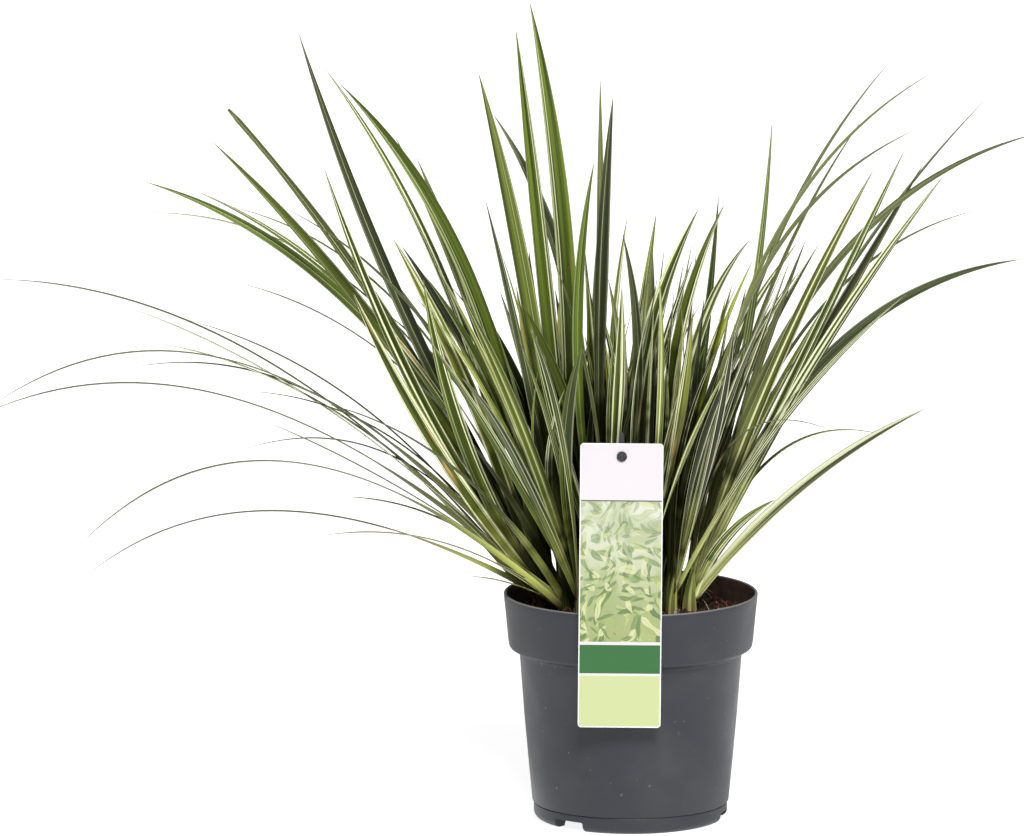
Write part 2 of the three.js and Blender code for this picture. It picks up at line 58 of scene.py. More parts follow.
def paint(red, green, blue):
    """A colour as it is seen on a screen, given to the shaders as light."""
    def light(byte):
        share = byte / 255
        return share / 12.92 if share <= 0.04045 else ((share + 0.055) / 1.055) ** 2.4
    return (light(red), light(green), light(blue), 1)


def add_node(tree, kind, inputs=None, **settings):
    """A shader node whose inputs, by name or number, are set or linked, and whose settings are set."""
    made = tree.nodes.new(kind)
    for name, value in settings.items():
        setattr(made, name, value)
    for name, value in (inputs or {}).items():
        if isinstance(value, bpy.types.NodeSocket):
            tree.links.new(value, made.inputs[name])
        else:
            made.inputs[name].default_value = value
    return made


def sum_of(tree, kind, *terms):
    """One number worked out from others: kind is the math node's own name for it."""
    return add_node(tree, "ShaderNodeMath", dict(enumerate(terms)), operation=kind).outputs[0]


def eased(tree, value, start, end, low=0, high=1):
    """A number that eases from low to high while value goes from start to end."""
    ends = {"Value": value, "From Min": start, "From Max": end, "To Min": low, "To Max": high}
    return add_node(tree, "ShaderNodeMapRange", ends, interpolation_type="SMOOTHSTEP").outputs[0]


def blended(tree, share, under, over, kind="MIX"):
    """The colour under, mixed with or multiplied by the colour over by a share from 0 to 1."""
    made = add_node(tree, "ShaderNodeMix", data_type="RGBA", blend_type=kind)
    for place, value in ((0, share), (6, under), (7, over)):
        if isinstance(value, bpy.types.NodeSocket):
            tree.links.new(value, made.inputs[place])
        else:
            made.inputs[place].default_value = value
    return made.outputs[2]


def speckled(tree, scale, detail=2, place=None):
    """A soft random number over the piece; scale is in waves a metre unless the place is given."""
    place = place or add_node(tree, "ShaderNodeTexCoord").outputs["Object"]
    spots = {"Vector": place, "Scale": scale, "Detail": detail}
    return add_node(tree, "ShaderNodeTexNoise", spots).outputs["Fac"]


def new_finish(name, roughness, specular):
    finish = bpy.data.materials.new(name)
    finish.use_nodes = True
    shader = finish.node_tree.nodes["Principled BSDF"]
    shader.inputs["Roughness"].default_value = roughness
    shader.inputs["Specular IOR Level"].default_value = specular
    return finish, finish.node_tree, shader


def new_group(name, wanted, given):
    """An empty shader group with named inputs and outputs; each is (name, kind of socket, start value)."""
    group = bpy.data.node_groups.new(name, "ShaderNodeTree")
    for label, kind, start in wanted:
        group.interface.new_socket(label, in_out="INPUT", socket_type=kind).default_value = start
    for label, kind in given:
        group.interface.new_socket(label, in_out="OUTPUT", socket_type=kind)
    return group, add_node(group, "NodeGroupInput").outputs, add_node(group, "NodeGroupOutput").inputs


def placed_group(tree, group, inputs):
    return add_node(tree, "ShaderNodeGroup", inputs, node_tree=group).outputs


def bumped(tree, shader, height, depth, strength=1):
    """Relief on a finish: depth is the height of the bumps in millimetres."""
    relief = {"Height": height, "Distance": depth * MM, "Strength": strength}
    tree.links.new(add_node(tree, "ShaderNodeBump", relief).outputs["Normal"], shader.inputs["Normal"])


def piece_from(shape, name, finish, node, smooth=True):
    """The finished mesh as a piece of the object, in millimetres until here, riding in place of its solid."""
    bmesh.ops.scale(shape, verts=shape.verts, vec=(MM, MM, MM))
    mesh = bpy.data.meshes.new(name)
    shape.to_mesh(mesh)
    shape.free()
    mesh.polygons.foreach_set("use_smooth", [smooth] * len(mesh.polygons))
    mesh.materials.append(finish)
    piece = bpy.data.objects.new(name, mesh)
    bpy.context.scene.collection.objects.link(piece)
    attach(piece, "root")
    if node:
        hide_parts(node)
    return piece


def arc(radius, height, size, start, end, steps):
    """Points of a rounded corner in an outline: its centre, its radius and the angles it runs between."""
    turns = [math.radians(start + (end - start) * step / steps) for step in range(steps + 1)]
    return [(radius + size * math.cos(turn), height + size * math.sin(turn)) for turn in turns]


def spun(shape, outline, steps):
    """Turns an outline of (radius, height) points into a closed round wall."""
    points = [shape.verts.new((radius, 0, height)) for radius, height in outline]
    edges = [shape.edges.new(pair) for pair in zip(points, points[1:])]
    bmesh.ops.spin(shape, geom=points + edges, cent=(0, 0, 0), axis=(0, 0, 1), angle=math.tau, steps=steps,
                   use_merge=True)
    bmesh.ops.remove_doubles(shape, verts=shape.verts, dist=0.001)
    bmesh.ops.recalc_face_normals(shape, faces=shape.faces)


def cut_from(shape, cutter):
    """Cuts one closed mesh out of another, and gives the result back as a new mesh under edit."""
    pair = []
    for part in (shape, cutter):
        mesh = bpy.data.meshes.new("cutting")
        part.to_mesh(mesh)
        part.free()
        pair.append(bpy.data.objects.new("cutting", mesh))
        bpy.context.scene.collection.objects.link(pair[-1])
    taken_out = pair[0].modifiers.new("cut", "BOOLEAN")
    taken_out.object, taken_out.operation, taken_out.solver = pair[1], "DIFFERENCE", "EXACT"
    bpy.context.view_layer.update()
    whole = bpy.data.meshes.new_from_object(pair[0].evaluated_get(bpy.context.evaluated_depsgraph_get()))
    result = bmesh.new()
    result.from_mesh(whole)
    for leftover in pair:
        bpy.data.objects.remove(leftover)
    return result


pot_outline = [
    (0, 0), (12, 0), (19, 0), (20, 0.3), (DRAIN_IN - 0.3, DRAIN_HEIGHT - 0.4), (DRAIN_IN + 0.6, DRAIN_HEIGHT),
    (34, DRAIN_HEIGHT), (DRAIN_OUT - 0.4, DRAIN_HEIGHT), (DRAIN_OUT + 0.2, DRAIN_HEIGHT - 0.4),
    (DRAIN_OUT + 2.2, 0.3), (DRAIN_OUT + 2.6, 0),
    *arc(FOOT_RADIUS - 4.5, 4.5, 4.5, -90, 0, 7), (FOOT_RADIUS, FOOT_TOP - 1.1),
    *arc(FOOT_RADIUS - 0.4, FOOT_TOP - 0.7, 0.4, 0, 80, 2), (BODY_FOOT_RADIUS - 0.3, FOOT_TOP + 0.3),
    (BODY_FOOT_RADIUS + 0.1, FOOT_TOP + 0.9), (60.5, 36), (63, 64), (BODY_TOP_RADIUS - 0.1, 99),
    (BODY_TOP_RADIUS + 0.5, COLLAR_FOOT - 1.7), (68.5, COLLAR_FOOT - 0.8),
    *arc(COLLAR_FOOT_RADIUS - 2.6, COLLAR_FOOT + 2.6, 2.6, -75, 0, 6), (72.4, 107), (73.6, 120),
    (74.7, 130.5), *arc(POT_RIM - 0.9, POT_TOP - 0.9, 0.9, 0, 180, 8), (POT_RIM - 2.2, POT_TOP - 4),
    (72.9, 125), (71.4, 110), (COLLAR_FOOT_RADIUS - POT_WALL, COLLAR_FOOT + POT_WALL),
    (BODY_TOP_RADIUS - 1.5, 99.5), (BODY_TOP_RADIUS - POT_WALL, 97), (60.6, 52),
    (BODY_FOOT_RADIUS - POT_WALL, DRAIN_HEIGHT + POT_WALL + 2),
    (BODY_FOOT_RADIUS - 4, DRAIN_HEIGHT + POT_WALL), (30, DRAIN_HEIGHT + POT_WALL),
    (0, DRAIN_HEIGHT + POT_WALL),
]
pot = bmesh.new()
spun(pot, pot_outline, 192)
notches = bmesh.new()
for turn in NOTCH_TURNS:
    notch = bmesh.ops.create_cube(notches, size=1)["verts"]
    bmesh.ops.scale(notches, vec=(NOTCH_LENGTH, NOTCH_WIDTH, 2 * DRAIN_HEIGHT - 0.4), verts=notch)
    edges = {edge for vert in notch for edge in vert.link_edges}
    around = [edge for edge in edges if abs(edge.verts[0].co.x - edge.verts[1].co.x) > 1]
    rounded = bmesh.ops.bevel(notches, geom=around, offset=1.2, segments=3, affect="EDGES", profile=0.5,
                              material=-1)["verts"]
    notch = [vert for vert in set(notch + rounded) if vert.is_valid]
    spin = Matrix.Rotation(math.radians(turn), 4, "Z")
    bmesh.ops.transform(notches, matrix=spin @ Matrix.Translation((NOTCH_REACH, 0, 0)), verts=notch)
    hole = bmesh.ops.create_cone(notches, cap_ends=True, segments=24, radius1=DRAIN_HOLE, radius2=DRAIN_HOLE,
                                 depth=20)["verts"]
    above = Matrix.Translation((DRAIN_HOLE_REACH, 0, DRAIN_HEIGHT + 5))
    bmesh.ops.transform(notches, matrix=spin @ above, verts=hole)
pot = cut_from(pot, notches)

# The moulded surface that the pot and the label's stake share: fine satin grain, a little dust, pale flecks.
moulded, asks, gives = new_group(
    "moulded satin",
    [("Colour", "NodeSocketColor", paint(*ANTHRACITE)), ("Dust", "NodeSocketFloat", 0.3),
     ("Flecks", "NodeSocketFloat", 0.3)],
    [("Colour", "NodeSocketColor"), ("Roughness", "NodeSocketFloat"), ("Grain", "NodeSocketFloat")])
clouds = speckled(moulded, 22, 4)
flecks = eased(moulded, speckled(moulded, 420, 1), 0.74, 0.8)
dusty = sum_of(moulded, "MULTIPLY", eased(moulded, clouds, 0.42, 0.75), asks["Dust"])
tinted = blended(moulded, dusty, asks["Colour"], paint(118, 114, 108))
shown = sum_of(moulded, "MULTIPLY", flecks, asks["Flecks"])
moulded.links.new(blended(moulded, shown, tinted, paint(168, 164, 158)), gives["Colour"])
moulded.links.new(eased(moulded, clouds, 0.3, 0.7, 0.4, 0.56), gives["Roughness"])
moulded.links.new(speckled(moulded, 2600, 2), gives["Grain"])


def moulded_finish(name, roughness, specular, colour, dust, flecks):
    """A finish with the moulded surface all over, and the colour that it shows there."""
    finish, tree, shader = new_finish(name, roughness, specular)
    skin = placed_group(tree, moulded, {"Colour": paint(*colour), "Dust": dust, "Flecks": flecks})
    tree.links.new(skin["Colour"], shader.inputs["Base Color"])
    tree.links.new(skin["Roughness"], shader.inputs["Roughness"])
    bumped(tree, shader, skin["Grain"], 0.05, 0.5)
    return finish, tree, shader, skin["Colour"]


# The top of the pot's lip is painted paler, and peat clings to the inner wall above the soil.
pot_finish, tree, shader, plastic = moulded_finish(
    "anthracite polypropylene", 0.48, 0.42, ANTHRACITE, dust=0.1, flecks=0.2)
place = add_node(tree, "ShaderNodeTexCoord").outputs["Object"]
height = add_node(tree, "ShaderNodeSeparateXYZ", {0: place}).outputs["Z"]
lip = eased(tree, height, (POT_TOP - 1.1) * MM, (POT_TOP - 0.1) * MM)
paler_lip = blended(tree, sum_of(tree, "MULTIPLY", lip, 0.55), plastic, paint(150, 146, 140))
facing = add_node(tree, "ShaderNodeNewGeometry").outputs["Normal"]
outward = add_node(tree, "ShaderNodeVectorMath", {0: place, 1: facing}, operation="DOT_PRODUCT")
inner_wall = sum_of(tree, "MULTIPLY", eased(tree, outward.outputs["Value"], -0.03, -0.06),
                    eased(tree, height, (COLLAR_FOOT + 3) * MM, (COLLAR_FOOT + 5) * MM))
muddy = sum_of(tree, "MULTIPLY", inner_wall, eased(tree, speckled(tree, 160, 4), 0.35, 0.6, 0.3, 0.9))
tree.links.new(blended(tree, muddy, paler_lip, paint(92, 68, 54)), shader.inputs["Base Color"])
pot = piece_from(pot, "nursery_pot", pot_finish, "pot")
creases = pot.modifiers.new("clean creases", "EDGE_SPLIT")
creases.split_angle = math.radians(50)


# The peat. Dark moist potting soil that fills the pot to 14 mm under the lip and is mounded round the shoots,
# with crumbs, pale rootlets, reddish fibres and a few grains of perlite lying on it.
SOIL_EDGE, SOIL_MOUND = 121, 8
TUSSOCK_X, TUSSOCK_Y, TUSSOCK_HALF, TUSSOCK_DEPTH = -8, 2, 50, 30
DARK_PEAT, BROWN_PEAT = (26, 18, 12), (72, 47, 32)
ROOTLETS = (  # the name, colour, count, lengths, thickness, and how high they rise
    ("pale_rootlets", (216, 200, 174), 56, (9, 24), 0.42, (2, 8)),
    ("reddish_fibres", (138, 64, 46), 84, (6, 17), 0.5, (2, 8)),
)
LARGE_GRAINS, LARGE_GRAIN = ((-55, -14), (-51, -19), (-36, -52)), 1.6
STREWING_SEED = 4211


def soil_height(x, y):
    """How high the soil's surface lies at a place."""
    across = (x - TUSSOCK_X) / (TUSSOCK_HALF + 8)
    along = (y - TUSSOCK_Y) / (TUSSOCK_DEPTH + 8)
    mound = SOIL_MOUND * math.exp(-(across * across + along * along))
    lump = 0.7 * (math.sin(x * 0.31 + 1) * math.cos(y * 0.27) + math.sin(x * 0.11 - y * 0.19))
    return SOIL_EDGE + mound + lump


def draws_from(seed):
    """A repeatable draw between two limits."""
    state = [seed]

    def draw(low, high):
        state[0] = state[0] * 16807 % 2147483647
        return low + (high - low) * state[0] / 2147483647
    return draw


soil = bmesh.new()
top_rings = [(71.6 - 1.1 * ring, SOIL_EDGE) for ring in range(65)]
spun(soil, [(0, 8.2), (55, 8.2), (55.8, 9), (63.6, 98), (70, 104), *top_rings, (0, SOIL_EDGE)], 288)
for vert in soil.verts:
    if vert.co.z > SOIL_EDGE - 0.01:
        x, y = vert.co.x, vert.co.y
        inward = min(1, (71.8 - math.hypot(x, y)) / 5)
        crumbs = noise.fractal(Vector((x, y, 3)) * 0.33, 0.8, 2.1, 5) * 1.5
        lumps = noise.noise(Vector((x, y, 9)) * 0.12)
        vert.co.z = soil_height(x, y) + inward * (crumbs + lumps)

soil_finish, tree, shader = new_finish("moist peat", 0.85, 0.3)
patches = speckled(tree, 260, 6)
tint = blended(tree, eased(tree, patches, 0.42, 0.66), paint(*DARK_PEAT), paint(*BROWN_PEAT))
rusty = eased(tree, speckled(tree, 900, 2), 0.62, 0.7, 0, 0.6)
tree.links.new(blended(tree, rusty, tint, paint(110, 62, 40)), shader.inputs["Base Color"])
bumped(tree, shader, sum_of(tree, "ADD", patches, speckled(tree, 1500, 3)), 1.1)
piece_from(soil, "potting_soil", soil_finish, "soil")


def spot_on_soil(draw, reach=70):
    """A random place on the soil, even over the circle of that reach."""
    radius, turn = reach * math.sqrt(draw(0, 1)), draw(0, math.tau)
    x, y = radius * math.cos(turn), radius * math.sin(turn)
    return Vector((x, y, soil_height(x, y)))


def strewn(shape, draw, count, smallest, largest):
    """Rough crumbs that lie half sunk in the soil."""
    for _ in range(count):
        size = draw(smallest, largest)
        crumb = bmesh.ops.create_icosphere(shape, subdivisions=2, radius=size)["verts"]
        squash = Matrix.Diagonal((draw(0.7, 1.3), draw(0.6, 1.1), draw(0.5, 0.9), 1))
        for vert in crumb:
            vert.co *= 1 + 0.45 * noise.noise(vert.co * 0.9 / size + Vector((size * 31, 0, 0)))
        turned = Matrix.Rotation(draw(0, 6), 4, "Z") @ squash
        bmesh.ops.transform(shape, verts=crumb, matrix=Matrix.Translation(spot_on_soil(draw)) @ turned)


def drawn_on(shape, edges):
    """Extrudes a ring of edges, and gives the new ring's vertices and edges to be put in place."""
    grown = bmesh.ops.extrude_edge_only(shape, edges=edges)["geom"]
    ring = [part for part in grown if isinstance(part, bmesh.types.BMVert)]
    return ring, [part for part in grown if isinstance(part, bmesh.types.BMEdge)]


def fibre(shape, draw, length, thick, rise):
    """A thin rootlet: a small ring drawn along a wandering line that dips into the soil at both ends."""
    foot, heading, curl = spot_on_soil(draw, 62), draw(0, math.tau), draw(-1.3, 1.3)
    ring = bmesh.ops.create_circle(shape, segments=5, radius=thick / 2)["verts"]
    edges = list({edge for vert in ring for edge in vert.link_edges})
    steps, at = 9, foot - Vector((0, 0, 1.2))
    aim = Vector((math.cos(heading), math.sin(heading), 0))
    upended = aim.to_track_quat("Z", "Y").to_matrix().to_4x4()
    bmesh.ops.transform(shape, verts=ring, matrix=Matrix.Translation(at) @ upended)
    for step in range(1, steps + 1):
        share = step / steps
        turn = heading + curl * share * 2
        x = at.x + length / steps * math.cos(turn)
        y = at.y + length / steps * math.sin(turn)
        height = soil_height(x, y) - 1 + rise * math.sin(math.pi * share)
        ring, edges = drawn_on(shape, edges)
        bmesh.ops.translate(shape, verts=ring, vec=Vector((x, y, height)) - at)
        at = Vector((x, y, height))
    bmesh.ops.recalc_face_normals(shape, faces=shape.faces)


draw = draws_from(STREWING_SEED)
crumbs = bmesh.new()
strewn(crumbs, draw, 420, 0.5, 1.7)
piece_from(crumbs, "peat_crumbs", soil_finish, None)

for name, colour, count, length, thick, rise in ROOTLETS:
    rootlet_finish, tree, shader = new_finish(name.replace("_", " "), 0.7, 0.3)
    uneven = blended(tree, speckled(tree, 300), paint(*colour), paint(*[part * 0.6 for part in colour]))
    tree.links.new(uneven, shader.inputs["Base Color"])
    rootlets = bmesh.new()
    for _ in range(count):
        fibre(rootlets, draw, draw(*length), thick, draw(*rise))
    piece_from(rootlets, name, rootlet_finish, None)

perlite_finish, tree, shader = new_finish("perlite", 0.9, 0.2)
tree.links.new(blended(tree, speckled(tree, 1800, 3), paint(236, 233, 226), paint(196, 190, 180)),
               shader.inputs["Base Color"])
bumped(tree, shader, speckled(tree, 2400, 3), 0.3)
perlite = bmesh.new()
strewn(perlite, draw, 26, 0.7, 1.5)
for x, y in LARGE_GRAINS:
    grain = bmesh.ops.create_icosphere(perlite, subdivisions=2, radius=LARGE_GRAIN)["verts"]
    bmesh.ops.translate(perlite, verts=grain, vec=(x, y, soil_height(x, y) + 0.7))
piece_from(perlite, "perlite_grains", perlite_finish, None)


# The shoots. Each is a flat fan of smooth sword-shaped leaves, green with cream stripes, that grow out of one
# another in a pale crown in the soil. They grow by the solids' own rules, so each fine leaf lies where its
# solid one does, and some slender young leaves that have no solid are added last.
SHOOTS, FEWEST_LEAVES, MOST_LEAVES = 32, 5, 9
CLUMPING, LEAN_POWER, LEFT_LEAN, RIGHT_LEAN, NAMED_LEAN = 0.7, 2.6, 50, 24, 40
RIGHT_ROOM, RIGHT_SLIMNESS = 0.7, 0.4
MOST_SLENDER, SLENDER_WIDTH = 4, (1.6, 3)
CROWN_DEPTH, CROWN_HEIGHT, CROWN_LENGTH, CROWN_THICKNESS = 9, 34, 9, 6
SHEATH_HEIGHT, ROOT_OFFSET = 100, 2.5
BLADE_THICKNESS, TAPER_START, FLAT_TURN = 1.1, 0.5, 4
CARD_X, CARD_WIDTH, CARD_HEIGHT, CARD_TOP, CARD_LEAN = -6, 48.5, 169, 237.4, 0.5
STAKE_WIDTH, STAKE_THICKNESS, STAKE_TOP, STAKE_BEND, STAKE_FOOT, STAKE_FOOT_Y = 4.6, 2, 243.5, 205, 62, -50
CARD_BACK = -POT_RIM - 0.3
CROWD_SEED, SLENDER_SEED, LOOK_SEED = 7919, 4409, 977
LOOKS = {  # how light, how much cream, how grey, and how dry a leaf is
    "green": (0.5, 0.2, 0.05, 0), "bright": (0.63, 0.55, 0.05, 0), "dark": (0.22, 0.15, 0.25, 0),
    "pale": (0.6, 0.8, 0.3, 0), "striped": (0.5, 0.95, 0.05, 0.2), "grey": (0.4, 0.15, 0.7, 0),
    "brown": (0.4, 0.75, 0.1, 1), "cut": (0.4, 0.3, 0.1, -1), "creamy": (0.5, 1.45, 0.8, 0),
}
# The leaves that stand out: the tip's x, y and z, the bow, the width, the sway, and the look.
ARCHING = (
    (-379, 30, 317, 42, 7, 0, "dark"), (-325, 30, 138, 47, 5, 0, "grey"),
    (-266, 40, 292, 26, 4.5, 0, "dark"), (-302, -20, 311, 20, 6, 4, "striped"),
    (-380, -45, 256, 73, 6, 0, "grey"), (-380, -80, 247, 57, 6, -5, "dark"),
    (-325, -130, 183, 68, 5, 6, "green"), (-184, -75, 182, 17, 5, 0, "brown"),
    (-173, 60, 181, 16, 5, 5, "pale"), (-283, 55, 275, 26, 7, -4, "pale"),
    (-301, 95, 252, 45, 5, 0, "dark"), (-219, -60, 250, 8, 5, 0, "dark"), (-234, 20, 215, 40, 4, 0, "dark"),
    (-96, -30, 150, 4, 5, 0, "pale"), (-295, 45, 354, 57, 6, 0, "pale"), (-244, 85, 353, 46, 5, 5, "brown"),
    (-217, -50, 378, 31, 6, 0, "green"), (-231, -85, 334, 32, 6, -5, "grey"),
    (211, 100, 348, 46, 4, 0, "grey"), (164, 70, 212, 42, 4, 0, "pale"), (120, -85, 245, 46, 3, 0, "grey"),
    (-231, 40, 249, 30, 4, 0, "dark"), (-199, -60, 266, 20, 6, 0, "dark"),
)
UPRIGHT = (
    (39, -70, 376, 11, 11, -16, "bright"), (-237, 20, 420, 13, 6.5, 0, "cut"),
    (-246, -35, 410, 14, 7.5, 4, "green"), (-196, 10, 469, -13, 8, -4, "dark"),
    (-182, 60, 440, 24, 5.5, 6, "striped"), (-171, -30, 443, 29, 9, -6, "green"),
    (-180, -80, 403, -13, 7, 0, "striped"), (-287, -10, 382, 38, 6.5, 0, "green"),
    (-258, 20, 372, 33, 4.5, 0, "striped"), (-127, 60, 386, 10, 7, 5, "green"),
    (-140, -60, 357, 10, 9, -6, "bright"), (-140, 100, 392, 12, 7, 0, "green"),
    (-60, -15, 490, 12, 11.5, 0, "green"), (-68, 25, 468, 4, 9.5, 4, "bright"),
    (-90, -40, 452, 9, 10, -4, "green"), (-82, 60, 412, 33, 8, 0, "grey"), (-86, -40, 377, 3, 5, 0, "dark"),
    (-18, 55, 435, -2, 6, 0, "grey"), (-11, -50, 440, 10, 9, -3, "dark"),
    (-22, -85, 407, 8, 7, -13, "green"), (-6, -95, 365, 5, 7, 15, "dark"), (8, -60, 350, 4, 9, -1, "grey"),
    (55, -20, 371, 17, 8, -4, "striped"), (52, 40, 367, -4, 5.5, 0, "green"),
    (83, 15, 417, -9, 5, 0, "green"), (155, 35, 449, 27, 2.8, 0, "grey"),
    (180, -25, 451, 45, 2.8, 4, "grey"), (139, 70, 409, 20, 2.6, 0, "grey"),
    (169, -60, 422, 46, 3.2, -5, "grey"), (241, -10, 411, 49, 5, 0, "grey"),
    (213, 60, 423, 19, 2.6, 0, "grey"), (160, -45, 408, 0, 6.5, 0, "bright"),
    (173, 25, 388, 2, 7, 0, "dark"), (183, -75, 398, 9, 7, 0, "pale"), (142, -35, 394, 7, 7.5, 0, "pale"),
    (230, -30, 339, 42, 7, 0, "dark"), (173, -55, 255, 11, 7.5, 0, "creamy"),
    (105, 85, 333, 5, 5, 0, "grey"), (69, -95, 362, 31, 7, 0, "striped"), (85, -30, 196, 8, 7, 0, "brown"),
    (-122, -60, 332, -13, 9, 0, "bright"), (-164, -90, 332, -8, 8, 0, "striped"),
    (-39, -62, 268, 3, 5, -14, "pale"),
)


class Shoot:
    """Where a shoot stands, which way and how far it leans, and its leaves."""

    def __init__(self, index):
        self.index = index
        share = math.sqrt((index + 0.5) / SHOOTS)
        self.turn = math.radians(index * 137.5 % 360)
        sideways = math.copysign(abs(math.cos(self.turn)) ** CLUMPING, math.cos(self.turn))
        self.x = TUSSOCK_X + TUSSOCK_HALF * share * sideways
        self.y = TUSSOCK_Y + TUSSOCK_DEPTH * share * math.sin(self.turn)
        most = (LEFT_LEAN + RIGHT_LEAN) / 2 - (LEFT_LEAN - RIGHT_LEAN) / 2 * math.cos(self.turn)
        self.lean = most * share ** LEAN_POWER
        outward = max(-sideways, sideways * RIGHT_ROOM) * share ** 2
        self.room = FEWEST_LEAVES + math.floor((MOST_LEAVES - 1 - FEWEST_LEAVES) * outward + 0.5)
        self.ground = soil_height(self.x, self.y)
        self.leaves = []

    def shift(self, height):
        """How far the crown's axis has leaned out at a height above the ground."""
        above = max(0, height - 2) / CROWN_HEIGHT
        return CROWN_HEIGHT * math.tan(math.radians(min(self.lean, 45) * 0.6)) * above * above

    def root(self, lean, azimuth):
        """Where a leaf that leans so far and that way leaves the crown."""
        height = 3 + 18 * math.cos(math.radians(lean)) ** 2
        shift, aside = self.shift(height), ROOT_OFFSET * math.sin(math.radians(lean))
        x = self.x + shift * math.cos(self.turn) + aside * math.cos(azimuth)
        y = self.y + shift * math.sin(self.turn) + aside * math.sin(azimuth)
        return np.array((x, y, self.ground + height))

    def on_crown(self, turn, size, height):
        """A point on the crown's oval wall, of a size from 0 to 1, at a height above the ground."""
        long = CROWN_LENGTH / 2 * size * math.cos(turn) + self.shift(height)
        short = CROWN_THICKNESS / 2 * size * math.sin(turn)
        return (self.x + long * math.cos(self.turn) - short * math.sin(self.turn),
                self.y + long * math.sin(self.turn) + short * math.cos(self.turn), self.ground + height)


def unit(vector):
    return vector / math.sqrt(vector @ vector)


class Leaf:
    """A blade between its root and its tip: bowed and swayed, edge-on at its root, tapering to a point."""

    def __init__(self, root, tip, bow, sway, width, turn, look=None):
        self.root, self.tip, self.bow, self.sway = root, tip, bow, sway
        self.width, self.turn, self.look = width, turn, look
        curl = math.floor((abs(bow) + abs(sway)) / 14 + 0.5)
        self.steps = 4 + min(4, curl + (math.dist(root, tip) > 240))
        self.twist_end = 0.3 if turn == FLAT_TURN else 0.6

    def aim(self):
        """Works out the blade's curve from its tip."""
        chord = self.tip - self.root
        azimuth = math.atan2(chord[1], chord[0])
        self.side = np.array((-math.sin(azimuth), math.cos(azimuth), 0.0))
        rise = unit(np.cross(chord, self.side))
        bend = self.root + chord * (0.5 + self.bow / 350)
        self.bend = bend + rise * (2 * self.bow) + self.side * (2 * self.sway)

    def frame(self, t):
        """The blade's middle, its direction across, its direction over, and half its width."""
        middle = self.root * (1 - t) ** 2 + self.bend * 2 * (1 - t) * t + self.tip * t * t
        forward = unit((self.bend - self.root) * (1 - t) + (self.tip - self.bend) * t)
        normal = unit(np.cross(forward, self.side))
        turn = math.radians(90 + (self.turn - 90) * min(1, t / self.twist_end))
        across = np.cross(normal, forward) * math.cos(turn) + normal * math.sin(turn)
        taper = 1 - max(0, (t - TAPER_START) / (1 - TAPER_START)) ** 2.2
        half = self.width / 2 * min(1, 0.55 + 1.6 * t) * taper
        return middle, across, unit(np.cross(forward, across)), half

    def swung(self, swing):
        """The same leaf with its tip moved sideways round its root."""
        way = self.tip - self.root
        turn = swing / max(40, math.hypot(way[0], way[1]))
        ahead, aside = math.cos(turn), math.sin(turn)
        tip = self.root + np.array((way[0] * ahead - way[1] * aside, way[0] * aside + way[1] * ahead, way[2]))
        other = Leaf(self.root, tip, self.bow, self.sway, self.width, self.turn, self.look)
        other.steps = self.steps
        other.aim()
        return other

    def points(self):
        """Points all over the blade, close enough together to test it against its neighbours."""
        ends = []
        for step in range(self.steps):
            middle, across, _, half = self.frame(step / self.steps)
            ends.append((middle + across * half, middle - across * half))
        ends.append((self.tip, self.tip))
        spread = []
        for (left, right), (next_left, next_right) in zip(ends, ends[1:]):
            rows = math.ceil(max(math.dist(left, next_left), math.dist(right, next_right)) / 1.5)
            columns = math.ceil(max(1, math.dist(left, right)) / 1.5)
            down = np.linspace(0, 1, rows + 1)[:, None]
            starts, stops = left + (next_left - left) * down, right + (next_right - right) * down
            over = np.linspace(0, 1, columns + 1)[None, :, None]
            spread.append((starts[:, None] + (stops - starts)[:, None] * over).reshape(-1, 3))
        return np.concatenate(spread)


# The space round the plant in small cells, and what holds each of them: a shoot, or the label. In filled are
# only the cells that something runs through, and in taken the cells beside them too, as the solids need it.
CELL, EMPTY, LABEL = 2, -2, -1
CORNER = np.array((270, 170, 20))
taken = np.full((480, 340, 310), EMPTY, np.int16)
filled = taken.copy()
AROUND = np.array(((0, 0, 0), (1, 0, 0), (-1, 0, 0), (0, 1, 0), (0, -1, 0), (0, 0, 1), (0, 0, -1)))


def cells_of(points):
    return np.floor(np.asarray(points) / CELL).astype(int) + CORNER


def take(points, owner):
    cells = np.unique(cells_of(points), axis=0)
    filled[tuple(cells.T)] = owner
    for beside in AROUND:
        at = tuple((cells + beside).T)
        taken[at] = np.where(taken[at] == EMPTY, owner, taken[at])


def is_clear(points, shoot, cells):
    """Whether a blade misses the pot's rim, the soil, the label and what the cells hold of other shoots."""
    x, y, z = points.T
    radius = np.hypot(x, y)
    over_soil = radius <= POT_RIM - 7
    if (~over_soil & (radius < POT_RIM + 2) & (z < POT_TOP + 2)).any():
        return False
    for at in points[over_soil & (np.hypot(x - shoot.x, y - shoot.y) > CROWN_LENGTH) & (z < SOIL_EDGE + 12)]:
        if at[2] < soil_height(at[0], at[1]) + 1:
            return False
    holder = cells[tuple(cells_of(points).T)]
    if ((holder != EMPTY) & ~((holder == shoot.index) & (z < shoot.ground + SHEATH_HEIGHT))).any():
        return False
    beside = abs(x - CARD_X) > CARD_WIDTH / 2 + 4
    return (beside | (y > 8 - POT_RIM) | (z > CARD_TOP - 7 - 0.18 * y)).all()


def placed(shoot, leaf, swing, cells=taken):
    """Grows the leaf, swung sideways so far, if it stands clear there."""
    swung = leaf.swung(swing)
    points = swung.points()
    if not is_clear(points, shoot, cells):
        return False
    take(points, shoot.index)
    shoot.leaves.append(swung)
    return True


SWINGS = [0] + [swing * way for swing in range(4, 65, 4) for way in (1, -1)]


